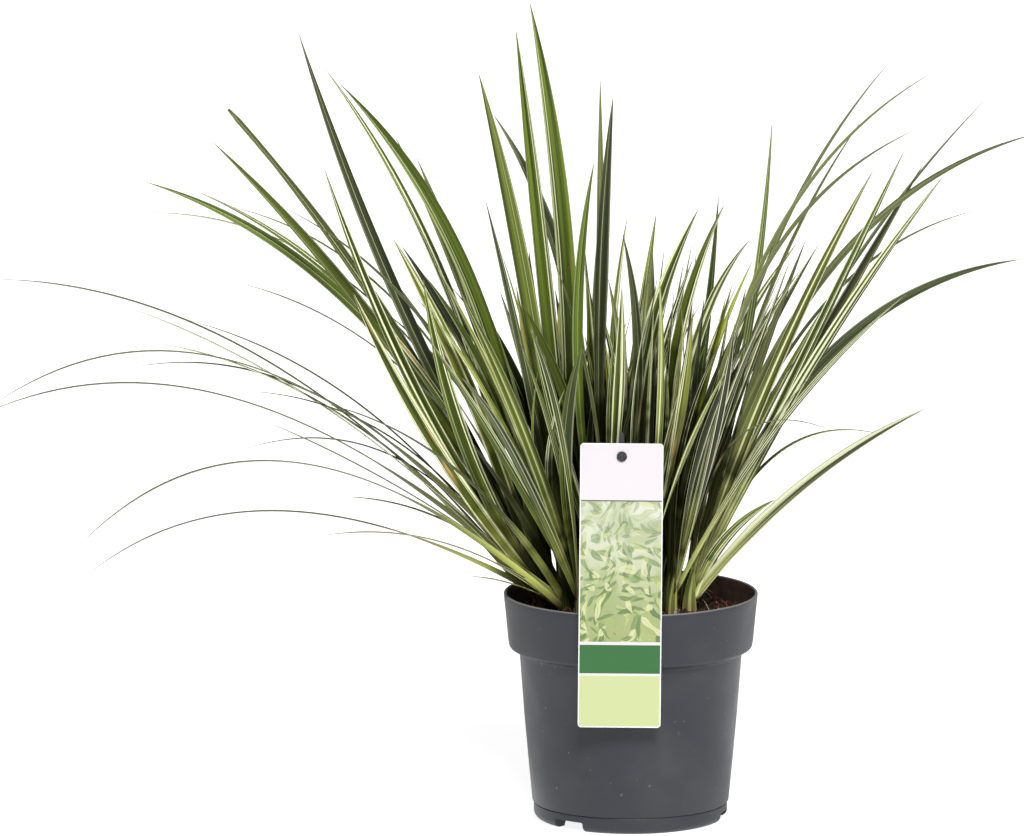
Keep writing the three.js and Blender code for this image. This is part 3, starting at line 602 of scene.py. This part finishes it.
def leaf_draws(seed, shoot, number, shoot_step=613, leaf_step=97):
    """A leaf's own draws. The first is dropped, because it hardly differs between near seeds."""
    draw = draws_from(seed + shoot_step * shoot.index + leaf_step * number)
    draw(0, 1)
    return draw


def tip_from(root, length, lean, azimuth):
    """Where a leaf of a length ends when it leans so far, in degrees, and that way."""
    tilt = math.radians(lean)
    reach = length * math.sin(tilt)
    return root + np.array((reach * math.cos(azimuth), reach * math.sin(azimuth), length * math.cos(tilt)))


def front_turn(root, tip):
    """The turn that shows an upright blade's broad side to the front."""
    return (470 - math.degrees(math.atan2(tip[1] - root[1], tip[0] - root[0]))) % 180


def grow_named(shoots, rows, flat_turn=None):
    """Each leaf grows from one of the shoots that suit it best, where it has to swing least."""
    for x, y, z, bow, width, sway, look in rows:
        out = math.hypot(x - TUSSOCK_X, y - TUSSOCK_Y)
        lean = math.degrees(math.atan2(out, z - POT_TOP))
        share = min(1, lean / NAMED_LEAN) ** (1 / LEAN_POWER)
        azimuth = math.atan2(y - TUSSOCK_Y, x - TUSSOCK_X)
        wanted = (TUSSOCK_X + TUSSOCK_HALF * share * math.cos(azimuth),
                  TUSSOCK_Y + TUSSOCK_DEPTH * share * math.sin(azimuth))
        open_shoots = [shoot for shoot in shoots if len(shoot.leaves) < MOST_LEAVES]
        near = sorted(open_shoots, key=lambda shoot: math.hypot(shoot.x - wanted[0], shoot.y - wanted[1]))[:5]
        tip, leaves = np.array((x, y, z), float), []
        for shoot in near:
            root = shoot.root(lean, math.atan2(y - shoot.y, x - shoot.x))
            leaves.append(Leaf(root, tip, bow, sway, width, flat_turn or front_turn(root, tip), look))
        any(placed(shoot, leaf, swing) for swing in SWINGS for shoot, leaf in zip(near, leaves))


def grow_crowd(shoots):
    """The smaller leaves that fill the tussock, drawn shoot by shoot."""
    for turn_taken in range(MOST_LEAVES):
        for shoot in shoots:
            if len(shoot.leaves) >= shoot.room:
                continue
            draw = leaf_draws(CROWD_SEED, shoot, turn_taken)
            lean = max(2, shoot.lean + draw(-10, 14))
            azimuth = shoot.turn + math.radians(draw(-30, 30))
            length = draw(95, 160) + 2.5 * lean
            root = shoot.root(lean, azimuth)
            tip = tip_from(root, length, lean, azimuth)
            bow = length * lean / 900 + draw(-3, 8)
            twist = draw(-45, 45)
            turn = FLAT_TURN if lean > 45 else front_turn(root, tip) + twist
            sway = draw(-9, 9)
            width = draw(4, 8) * (1 - RIGHT_SLIMNESS * max(0, math.cos(shoot.turn)))
            leaf = Leaf(root, tip, bow, sway, width, turn)
            any(placed(shoot, leaf, swing) for swing in SWINGS)


def grow_slender(shoots):
    """Young leaves too fine for the solids, which cross between the others, most of them on the right."""
    for number in range(MOST_SLENDER):
        for shoot in shoots:
            if number >= MOST_SLENDER / 2 * (1 + math.cos(shoot.turn)) + 0.5:
                continue
            draw = leaf_draws(SLENDER_SEED, shoot, number)
            lean, azimuth = draw(4, 36), draw(0, math.tau)
            length, root = draw(120, 190) + lean, shoot.root(lean, azimuth)
            tip = tip_from(root, length, lean, azimuth)
            leaf = Leaf(root, tip, length * lean / 800 + draw(-4, 10), draw(-12, 12), draw(*SLENDER_WIDTH),
                        front_turn(root, tip) + draw(-30, 30), "grey" if draw(0, 1) < 0.4 else None)
            leaf.steps += 2
            any(placed(shoot, leaf, swing, filled) for swing in SWINGS)


def stake_y(height):
    """The stake's front: upright behind the card, and slanting back into the soil under its bend."""
    down = max(0, (STAKE_BEND - height) / (STAKE_BEND - STAKE_FOOT))
    return CARD_BACK + 0.5 + (STAKE_FOOT_Y - CARD_BACK - 0.5) * down


shoots = [Shoot(index) for index in range(SHOOTS)]
for shoot in shoots:
    crown = []
    for height in range(-2, CROWN_HEIGHT + 1, 2):
        size = 0.4 if height > CROWN_HEIGHT * 0.7 else 0.9
        crown += [shoot.on_crown(math.radians(turn), size, height) for turn in range(0, 360, 30)]
    take(crown, shoot.index)
take([(CARD_X - STAKE_WIDTH / 2 + x, stake_y(height) + back, height)
      for height in range(SOIL_EDGE, math.floor(STAKE_TOP) + 1, 2)
      for x in range(math.floor(STAKE_WIDTH) + 1) for back in (0, STAKE_THICKNESS)], LABEL)
grow_named(shoots, UPRIGHT)
grow_named(shoots, ARCHING, FLAT_TURN)
grow_crowd(shoots)
grow_slender(shoots)


# How deep each point of a leaf lies in the tussock; this sets how much painted shade the leaf gets.
LOOKOUT = [(turn, rise) for rise in (12, 48) for turn in range(0, 360, 40)] + [(0, 90)]
SIGHT, LEAF_SHADE, CLEAREST_WAYS = range(8, 90, 6), 0.3, 5
OPEN_SHADE, SHADE_RANGE = 0.03, 0.28


def depth_inside(points):
    """How deep inside the tussock each point is: 0 in the open, 1 where leaves hide it from every side.

    Of the ways that light can come in, the few clearest ones count."""
    sight = []
    for turn, rise in LOOKOUT:
        turn, rise = math.radians(turn), math.radians(rise)
        way = np.array((math.cos(turn) * math.cos(rise), math.sin(turn) * math.cos(rise), math.sin(rise)))
        passed = np.zeros(len(points))
        for far in SIGHT:
            cells = np.clip(cells_of(points + way * far), 0, np.array(taken.shape) - 1)
            passed += taken[tuple(cells.T)] >= 0
        sight.append(np.exp(passed * -LEAF_SHADE))
    clearest = np.sort(sight, axis=0)[-CLEAREST_WAYS:].mean(axis=0)
    return np.clip((1 - clearest - OPEN_SHADE) / SHADE_RANGE, 0, 1)


def lay_blade(shape, leaf, layers, look, dryness, seed, around=12, along=36):
    """Wraps a flat grid round the blade: a slim lens in section, closed at its edges and its tip.

    It widens where it sheathes the crown, and a cut leaf ends blunt. Upright blades get more painted shade."""
    place, tone, dry, painted_shade = layers
    down = np.linspace(0, 1, along + 1)
    upright = max(0, 1 - math.dist(leaf.root[:2], leaf.tip[:2]) / 80)
    depths = depth_inside(np.array([leaf.frame(t)[0] for t in down]))
    # Painted shade: upright blades are darkened more on their lower parts.
    depths += 0.2 * upright * np.clip(1 - down / 0.6, 0, 1)
    grid = bmesh.ops.create_grid(shape, x_segments=around, y_segments=along, size=1)["verts"]
    frames = {}
    for vert in grid:
        turn, t = math.pi * (vert.co.x + 1), (vert.co.y + 1) / 2
        if t not in frames:
            frames[t] = [Vector(part) for part in leaf.frame(t)[:3]] + [leaf.frame(t)[3]]
        middle, across, over, half = frames[t]
        half *= 1 + 0.55 * max(0, 1 - t / 0.16) ** 1.5
        if leaf.look == "cut":
            half = max(half, leaf.width * 0.26 * min(1, 60 * (1.008 - t)))
        wide, thick = math.cos(turn), math.sin(turn)
        bulge = math.copysign(abs(thick) ** 1.4, thick) * (1 - 0.22 * math.cos(turn * 2 + 1) ** 2)
        deep = BLADE_THICKNESS * 0.42 * min(1, half / 1.6)
        vert.co = middle + across * half * wide + over * deep * bulge
        vert[place] = Vector((wide, t, seed))
        vert[tone] = look
        vert[dry] = dryness
        vert[painted_shade] = min(1, float(np.interp(t, down, depths)))


def sheath(shape, shoot, layers, seed):
    """The crown: the leaves' bases folded round one another, an oval stem that narrows as they part."""
    place, tone, _, painted_shade = layers
    foot = np.array(((shoot.x, shoot.y, shoot.ground + 10),))
    depth = float(depth_inside(foot)[0])
    grid = bmesh.ops.create_grid(shape, x_segments=40, y_segments=14, size=1)["verts"]
    for vert in grid:
        turn, t = math.pi * (vert.co.x + 1), (vert.co.y + 1) / 2
        height = -CROWN_DEPTH + (CROWN_DEPTH + CROWN_HEIGHT) * t
        rounded = math.sqrt(max(0, 1 - max(0, (height - 18) / 16.4) ** 2))
        fold = 1 - 0.16 * abs(math.sin(turn * 2.5 + seed * 40)) ** 6
        size = min(1, 1.02 - max(0, height - 2) / 42) * rounded
        vert.co = shoot.on_crown(turn, size * fold, height)
        vert[place] = Vector((math.cos(turn * 5 + seed * 80), max(0, height) / 300, seed))
        vert[tone] = Vector((0.75, 0.5, 0))
        # Painted shade on the crown: darker in the creases between the folded leaf bases, and a little all
        # over.
        vert[painted_shade] = min(1, depth + 0.2 + (1 - fold) * 4)


leaf_finish, tree, shader = new_finish("sweet flag leaf", 0.42, 0.3)
place = add_node(tree, "ShaderNodeAttribute", attribute_name="leaf_place").outputs["Vector"]
look = add_node(tree, "ShaderNodeAttribute", attribute_name="leaf_look").outputs["Vector"]
across, along, seed = add_node(tree, "ShaderNodeSeparateXYZ", {0: place}).outputs
tone, cream, grey = add_node(tree, "ShaderNodeSeparateXYZ", {0: look}).outputs
dry = add_node(tree, "ShaderNodeAttribute", attribute_name="leaf_dry").outputs["Fac"]
painted_shade = add_node(tree, "ShaderNodeAttribute", attribute_name="leaf_painted_shade").outputs["Fac"]


def streaks(width, length, detail, offset):
    """A random number that changes across the blade and hardly along it, different on each leaf."""
    spot = add_node(tree, "ShaderNodeCombineXYZ", {
        0: sum_of(tree, "MULTIPLY_ADD", across, width, sum_of(tree, "MULTIPLY", seed, 71)),
        1: sum_of(tree, "MULTIPLY", along, length), 2: sum_of(tree, "MULTIPLY_ADD", seed, 37, offset)})
    return speckled(tree, 1, detail, spot.outputs[0])


def lot(times):
    """A number from 0 to 1 that is the leaf's own, another one for each times."""
    return sum_of(tree, "FRACT", sum_of(tree, "MULTIPLY", seed, times))


veins = streaks(9, 1.6, 2, 3)
# A soft random pattern of bands across and along each blade, used for painted light and shade.
light_and_shade = streaks(1.5, 1.1, 1, 29)
dark_green = blended(tree, eased(tree, tone, 0, 0.5), paint(36, 47, 13), paint(86, 106, 22))
green = blended(tree, eased(tree, tone, 0.5, 1), dark_green, paint(176, 190, 66))
green = blended(tree, sum_of(tree, "MULTIPLY", grey, 0.7), green, paint(122, 128, 106))
# Painted shade in the darker bands.
green = blended(tree, eased(tree, light_and_shade, 0.46, 0.64, 0, 0.9), green, paint(134, 144, 110), "MULTIPLY")
green = blended(tree, sum_of(tree, "MULTIPLY", lot(29), 0.8), green, paint(255, 232, 196), "MULTIPLY")
# Painted light in the brighter bands.
green = blended(tree, eased(tree, light_and_shade, 0.48, 0.32, 0, 0.8), green, (1.7, 1.6, 1.3, 1), "MULTIPLY")
# Painted shade on one half of some blades, as if folded along the midrib away from the light.
shaded_half = eased(tree, sum_of(tree, "ADD", across, sum_of(tree, "SUBTRACT", lot(3), 0.5)), -0.06, 0.06, 0, 0.7)
green = blended(tree, sum_of(tree, "MULTIPLY", shaded_half, lot(13)), green, paint(150, 158, 132), "MULTIPLY")
young = sum_of(tree, "MULTIPLY", eased(tree, along, 0.34, 0.03), eased(tree, lot(19), 0.1, 0.7, 0.2, 1))
green = blended(tree, young, green, paint(196, 202, 104))

# The cream: one stripe along the blade, fine lines elsewhere, and a line along each edge, bolder on one side.
wavering = sum_of(tree, "MULTIPLY_ADD", light_and_shade, 0.3, across)
off_stripe = sum_of(tree, "ADD", wavering, sum_of(tree, "MULTIPLY_ADD", lot(7), 1.3, -0.8))
off_stripe = sum_of(tree, "ABSOLUTE", off_stripe)
stripe_half = sum_of(tree, "MULTIPLY_ADD", sum_of(tree, "MULTIPLY", cream, cream), 0.13, 0.04)
stripe = eased(tree, sum_of(tree, "SUBTRACT", off_stripe, stripe_half), 0.04, -0.04)
stripe = sum_of(tree, "MULTIPLY", stripe, eased(tree, cream, 0, 0.4))
lines = eased(tree, streaks(3.6, 0.3, 1, 11), 0.63, 0.67)
lines = sum_of(tree, "MULTIPLY", lines, eased(tree, cream, 0.1, 0.8, 0, 0.95))
sided = sum_of(tree, "MULTIPLY", across, eased(tree, lot(23), 0.48, 0.52, -1, 1))
edges = sum_of(tree, "ADD", eased(tree, sided, 0.74, 0.82), eased(tree, sided, -0.86, -0.92, 0, 0.5))
edges = sum_of(tree, "MULTIPLY", edges, eased(tree, cream, 0, 0.7, 0.15, 0.95))
cream_share = sum_of(tree, "MAXIMUM", stripe, sum_of(tree, "MAXIMUM", lines, edges))
fresh = blended(tree, eased(tree, along, 0.5, 0.08), paint(246, 247, 204), paint(244, 246, 186))
pale = blended(tree, sum_of(tree, "MULTIPLY", grey, 0.6), fresh, paint(188, 190, 174))
leaf_colour = blended(tree, sum_of(tree, "MULTIPLY", cream_share, 0.95), green, pale)
veined = eased(tree, veins, 0.35, 0.65, 0.5, 0)
leaf_colour = blended(tree, veined, leaf_colour, paint(160, 168, 130), "MULTIPLY")

# The wear: dry brown tips, a few scorched stripes, more of them on a dry leaf, and rusty sheaths at the foot.
# Painted shade darkens the leaves deep inside the tussock, where others hide them, and dulls their sheen.
dead = eased(tree, sum_of(tree, "MULTIPLY_ADD", streaks(1, 6, 2, 5), 0.12, along), 1.0, 1.07)
dead = sum_of(tree, "MULTIPLY", dead, eased(tree, sum_of(tree, "ADD", dry, lot(17)), 0.2, 0.9, 0, 0.75))
leaf_colour = blended(tree, dead, leaf_colour, paint(128, 108, 66))
dried = sum_of(tree, "MULTIPLY_ADD", dry, 0.16, streaks(1.1, 3, 1, 41))
leaf_colour = blended(tree, eased(tree, dried, 0.75, 0.86, 0, 0.8), leaf_colour, paint(196, 158, 100))
leaf_colour = blended(tree, eased(tree, along, 0.035, 0.005, 0, 0.45), leaf_colour, paint(150, 116, 84))
# Painted shade, darkest where leaves hide a leaf from every side.
leaf_colour = blended(tree, sum_of(tree, "MULTIPLY", painted_shade, 0.93), leaf_colour, paint(16, 18, 7))
tree.links.new(leaf_colour, shader.inputs["Base Color"])
tree.links.new(eased(tree, light_and_shade, 0.3, 0.7, 0.36, 0.5), shader.inputs["Roughness"])
# Painted shade on the sheen: less of it deep inside the tussock.
tree.links.new(eased(tree, painted_shade, 0, 0.7, 0.24, 0.03), shader.inputs["Specular IOR Level"])
bumped(tree, shader, veins, 0.35, 0.6)

for shoot in shoots:
    fan = bmesh.new()
    layers = (fan.verts.layers.float_vector.new("leaf_place"), fan.verts.layers.float_vector.new("leaf_look"),
              fan.verts.layers.float.new("leaf_dry"), fan.verts.layers.float.new("leaf_painted_shade"))
    for number, leaf in enumerate(shoot.leaves):
        draw = leaf_draws(LOOK_SEED, shoot, number, 331, 53)
        drawn = (draw(0, 1) ** 1.25, draw(-0.1, 1.15), max(0, draw(-0.6, 0.4)), max(0, draw(-3, 1)))
        light, creamy, greyish, dryness = LOOKS.get(leaf.look, drawn)
        look = Vector((light + draw(-0.08, 0.08), creamy + draw(-0.08, 0.08), greyish))
        lay_blade(fan, leaf, layers, look, dryness, draw(0, 1))
    sheath(fan, shoot, layers, draws_from(31 + shoot.index)(0, 1))
    bmesh.ops.remove_doubles(fan, verts=fan.verts, dist=0.002)
    bmesh.ops.holes_fill(fan, edges=[edge for edge in fan.edges if edge.is_boundary], sides=0)
    bmesh.ops.recalc_face_normals(fan, faces=fan.faces)
    name = f"shoot_{shoot.index + 1:02d}"
    piece_from(fan, f"leaf_fan_{name[-2:]}", leaf_finish, name)


# The label's stake. A strip of dark moulded plastic that stands in a slot in the soil, slants forward out of
# it and stands up behind the card; a peg with a flat round button on it holds the card by its hole.
PEG_HEIGHT, PEG_RADIUS, BUTTON_RADIUS = 229.7, 1.6, 3
CARD_THICKNESS, HALF_STAKE = 0.6, STAKE_WIDTH / 2

stake = bmesh.new()
ring = bmesh.ops.create_grid(stake, x_segments=1, y_segments=1, size=0.5)["verts"]
bmesh.ops.delete(stake, geom=stake.faces[:], context="FACES_ONLY")
edges = stake.edges[:]
levels = ((STAKE_FOOT, 1), (STAKE_FOOT + 14, HALF_STAKE), (140, HALF_STAKE), (STAKE_BEND, HALF_STAKE),
          (STAKE_TOP - 16, HALF_STAKE), (STAKE_TOP - 1, 1.3), (STAKE_TOP, 0.5))
for number, (height, half) in enumerate(levels):
    if number:
        ring, edges = drawn_on(stake, edges)
    middle = sum((vert.co for vert in ring), Vector()) / len(ring)
    for vert in ring:
        side = math.copysign(half, vert.co.x - middle.x)
        back = STAKE_THICKNESS if vert.co.y > middle.y else 0
        vert.co = (side, stake_y(height) + back, height)
for vert in stake.verts:
    vert.co.x += CARD_X
bmesh.ops.holes_fill(stake, edges=stake.edges, sides=0)
bmesh.ops.recalc_face_normals(stake, faces=stake.faces)
corners = [edge for edge in stake.edges if edge.calc_face_angle(0) > 0.6]
bmesh.ops.bevel(stake, geom=corners, offset=0.3, segments=2, affect="EDGES", profile=0.5, material=-1)
button = bmesh.new()
front = CARD_BACK - CARD_THICKNESS
spun(button, [(0, -4), (PEG_RADIUS, -4), (PEG_RADIUS, 0.3), (BUTTON_RADIUS - 0.2, 0.3), (BUTTON_RADIUS, 0.5),
              (BUTTON_RADIUS, 0.9), (BUTTON_RADIUS - 0.25, 1.2), (2.1, 1.3), (1.9, 1.1), (1.2, 1.15),
              (0, 1.5)], 48)
face_front = Matrix.Translation((CARD_X, front, PEG_HEIGHT)) @ Matrix.Rotation(math.pi / 2, 4, "X")
bmesh.ops.transform(button, verts=button.verts, matrix=face_front)
peg_mesh = bpy.data.meshes.new("peg")
button.to_mesh(peg_mesh)
button.free()
stake.from_mesh(peg_mesh)
stake_finish = moulded_finish("dark moulded stake", 0.45, 0.5, (32, 31, 33), dust=0.15, flecks=0.1)[0]
piece_from(stake, "label_stake", stake_finish, "tag_stake", smooth=False)


# The label. A stiff printed plastic card with rounded corners, hung by its hole from the peg and resting
# against the collar. Its print has a white edge: a pale header over a thin line, a field of leaflets, a dark
# green band and a light green foot.
FIELD, FIELD_LINE, BAND, FOOT = (51, 135), (134.6, 135.3), (32.2, 49.2), (0.7, 30.8)  # heights on the card
PRINT_MARGIN = 0.6
LEAFLETS = (  # the size of the cells that they lie in, the shift of the cells, and the colour
    (15, 0.3, (104, 128, 76)), (11, 0.7, (164, 172, 116)), (13, 0.1, (70, 98, 54)), (9, 0.5, (140, 154, 96)),
    (12, 0.85, (188, 190, 144)), (8, 0.2, (88, 114, 66)),
)
card = bmesh.new()
bmesh.ops.create_grid(card, x_segments=1, y_segments=1, size=0.5)
bmesh.ops.scale(card, verts=card.verts, vec=(CARD_WIDTH, CARD_HEIGHT, 1))
bmesh.ops.bevel(card, geom=card.verts[:], offset=2, segments=8, affect="VERTICES", profile=0.5, material=-1)
sheet = card.faces[:]
bmesh.ops.extrude_face_region(card, geom=sheet)
bmesh.ops.translate(card, verts=[vert for face in sheet for vert in face.verts], vec=(0, 0, CARD_THICKNESS))
bmesh.ops.recalc_face_normals(card, faces=card.faces)
punch = bmesh.new()
hole_radius = PEG_RADIUS + 0.3
bmesh.ops.create_cone(punch, cap_ends=True, segments=40, radius1=hole_radius, radius2=hole_radius, depth=4)
card_middle = CARD_TOP - CARD_HEIGHT / 2
bmesh.ops.translate(punch, verts=punch.verts, vec=(0, PEG_HEIGHT - card_middle, 0))
card = cut_from(card, punch)
print_map = card.loops.layers.uv.new("print")
for face in card.faces:
    for loop in face.loops:
        loop[print_map].uv = (loop.vert.co.x / CARD_WIDTH + 0.5, loop.vert.co.y / CARD_HEIGHT + 0.5)
hang = (Matrix.Translation((CARD_X, CARD_BACK, PEG_HEIGHT)) @ Matrix.Rotation(math.pi / 2, 4, "X")
        @ Matrix.Rotation(math.radians(-CARD_LEAN), 4, "Z")
        @ Matrix.Translation((0, card_middle - PEG_HEIGHT, 0)))
bmesh.ops.transform(card, verts=card.verts, matrix=hang)

card_finish, tree, shader = new_finish("printed label film", 0.32, 0.5)
spot = add_node(tree, "ShaderNodeUVMap", uv_map="print").outputs["UV"]
u, v, _ = add_node(tree, "ShaderNodeSeparateXYZ", {0: spot}).outputs
wide = sum_of(tree, "MULTIPLY", u, CARD_WIDTH)
tall = sum_of(tree, "MULTIPLY", v, CARD_HEIGHT)
drifted = [sum_of(tree, "MULTIPLY_ADD", speckled(tree, scale, 1), 30, length)
           for scale, length in ((46, wide), (39, tall))]


def inside(value, start, end, soft=0.12):
    """1 between two heights or widths in millimetres, with a crisp printed edge."""
    begun = eased(tree, value, start - soft, start + soft)
    return sum_of(tree, "MULTIPLY", begun, eased(tree, value, end + soft, end - soft))


def scattered(size, shift):
    """Small pointed leaves, one in each cell of a grid and each turned its own way: 1 inside them."""
    spread = add_node(tree, "ShaderNodeCombineXYZ", {
        0: sum_of(tree, "MULTIPLY_ADD", drifted[0], 1 / size, shift),
        1: sum_of(tree, "MULTIPLY_ADD", drifted[1], 1 / size, shift * 1.7)})
    cell = add_node(tree, "ShaderNodeVectorMath", {0: spread.outputs[0]}, operation="FLOOR")
    within = add_node(tree, "ShaderNodeVectorMath", {0: spread.outputs[0]}, operation="FRACTION")
    chance = add_node(tree, "ShaderNodeTexWhiteNoise", {"Vector": cell.outputs[0]}).outputs["Value"]
    turned = add_node(tree, "ShaderNodeVectorRotate", {
        "Vector": within.outputs[0], "Center": (0.5, 0.5, 0),
        "Angle": sum_of(tree, "MULTIPLY_ADD", chance, 3, -1.5)}, rotation_type="Z_AXIS")
    out, up, _ = add_node(tree, "ShaderNodeSeparateXYZ", {0: turned.outputs[0]}).outputs
    out = sum_of(tree, "ABSOLUTE", sum_of(tree, "SUBTRACT", out, 0.5))
    up = sum_of(tree, "DIVIDE", sum_of(tree, "SUBTRACT", up, 0.5), 0.46)
    half = sum_of(tree, "MULTIPLY_ADD", sum_of(tree, "MULTIPLY", up, up), -0.15, 0.15)
    blade = eased(tree, sum_of(tree, "SUBTRACT", half, out), 0, 0.02)
    return sum_of(tree, "MULTIPLY", blade, eased(tree, out, 0.006, 0.018, 0.5, 1))


field = blended(tree, eased(tree, tall, 51, 134), paint(140, 150, 98), paint(190, 193, 176))
field = blended(tree, eased(tree, speckled(tree, 60, 3), 0.4, 0.65, 0, 0.5), field, paint(126, 142, 88))
leaflet_strength = eased(tree, tall, 75, 134, 0.85, 0.45)
for size, shift, colour in LEAFLETS:
    shape = sum_of(tree, "MULTIPLY", scattered(size, shift), leaflet_strength)
    field = blended(tree, shape, field, paint(*colour))
printed = blended(tree, inside(tall, *FIELD), paint(199, 193, 197), field)
for stretch, colour in ((FIELD_LINE, (70, 78, 72)), (BAND, (37, 92, 42)), (FOOT, (174, 184, 132))):
    printed = blended(tree, inside(tall, *stretch), printed, paint(*colour))
framed = sum_of(tree, "MULTIPLY", inside(wide, PRINT_MARGIN, CARD_WIDTH - PRINT_MARGIN),
                inside(tall, PRINT_MARGIN, CARD_HEIGHT - PRINT_MARGIN))
facing = add_node(tree, "ShaderNodeNewGeometry").outputs["Normal"]
front_only = eased(tree, add_node(tree, "ShaderNodeSeparateXYZ", {0: facing}).outputs["Y"], -0.5, -0.6)
shown = blended(tree, sum_of(tree, "MULTIPLY", framed, front_only), paint(224, 221, 222), printed)
tree.links.new(shown, shader.inputs["Base Color"])
bumped(tree, shader, speckled(tree, 900, 2), 0.02, 0.4)
piece_from(card, "plant_label", card_finish, "tag_card", smooth=False)


# The stage. A plain floor that glows, so that shadows on it stay nearly white, soft studio light, and the
# camera at the photograph's angle: ten degrees above level, straight from the front, through a long lens.
plane = bmesh.new()
bmesh.ops.create_grid(plane, x_segments=1, y_segments=1, size=20)
mesh = bpy.data.meshes.new("floor")
plane.to_mesh(mesh)
plane.free()
floor = bpy.data.objects.new("floor", mesh)
bpy.context.scene.collection.objects.link(floor)
floor_finish, tree, shader = new_finish("pale floor", 0.9, 0.1)
shader.inputs["Base Color"].default_value = paint(178, 178, 178)
shader.inputs["Emission Color"].default_value = (1, 1, 1, 1)
shader.inputs["Emission Strength"].default_value = 0.86
mesh.materials.append(floor_finish)

scene = bpy.context.scene
scene.view_settings.view_transform = "Standard"
world = bpy.data.worlds.new("studio")
world.use_nodes = True
world.node_tree.nodes["Background"].inputs["Color"].default_value = (1, 1, 1, 1)
seen = add_node(world.node_tree, "ShaderNodeLightPath").outputs["Is Camera Ray"]
world.node_tree.links.new(eased(world.node_tree, seen, 0, 1, 0.1, 1),
                          world.node_tree.nodes["Background"].inputs["Strength"])
scene.world = world
for name, turns, soft, power in (("key", (48, 0, 7), 18, 3.95), ("fill", (58, 0, 48), 50, 0.4),
                                 ("back", (-35, 0, 10), 60, 0.4)):
    light = bpy.data.lights.new(name, "SUN")
    light.angle, light.energy = math.radians(soft), power
    lamp = bpy.data.objects.new(name, light)
    lamp.rotation_euler = [math.radians(turn) for turn in turns]
    scene.collection.objects.link(lamp)

TARGET = Vector((-0.0701, 0, 0.2391))
VIEW_WIDTH, VIEW_FAR, VIEW_TILT = 0.6031, 8, math.radians(10)
camera = bpy.data.objects.new("camera", bpy.data.cameras.new("camera"))
camera.data.sensor_width = 36
camera.data.lens = 36 * VIEW_FAR / VIEW_WIDTH
camera.data.clip_end = 60
camera.location = TARGET + VIEW_FAR * Vector((0, -math.cos(VIEW_TILT), math.sin(VIEW_TILT)))
camera.rotation_euler = (math.pi / 2 - VIEW_TILT, 0, 0)
scene.collection.objects.link(camera)
scene.camera = camera
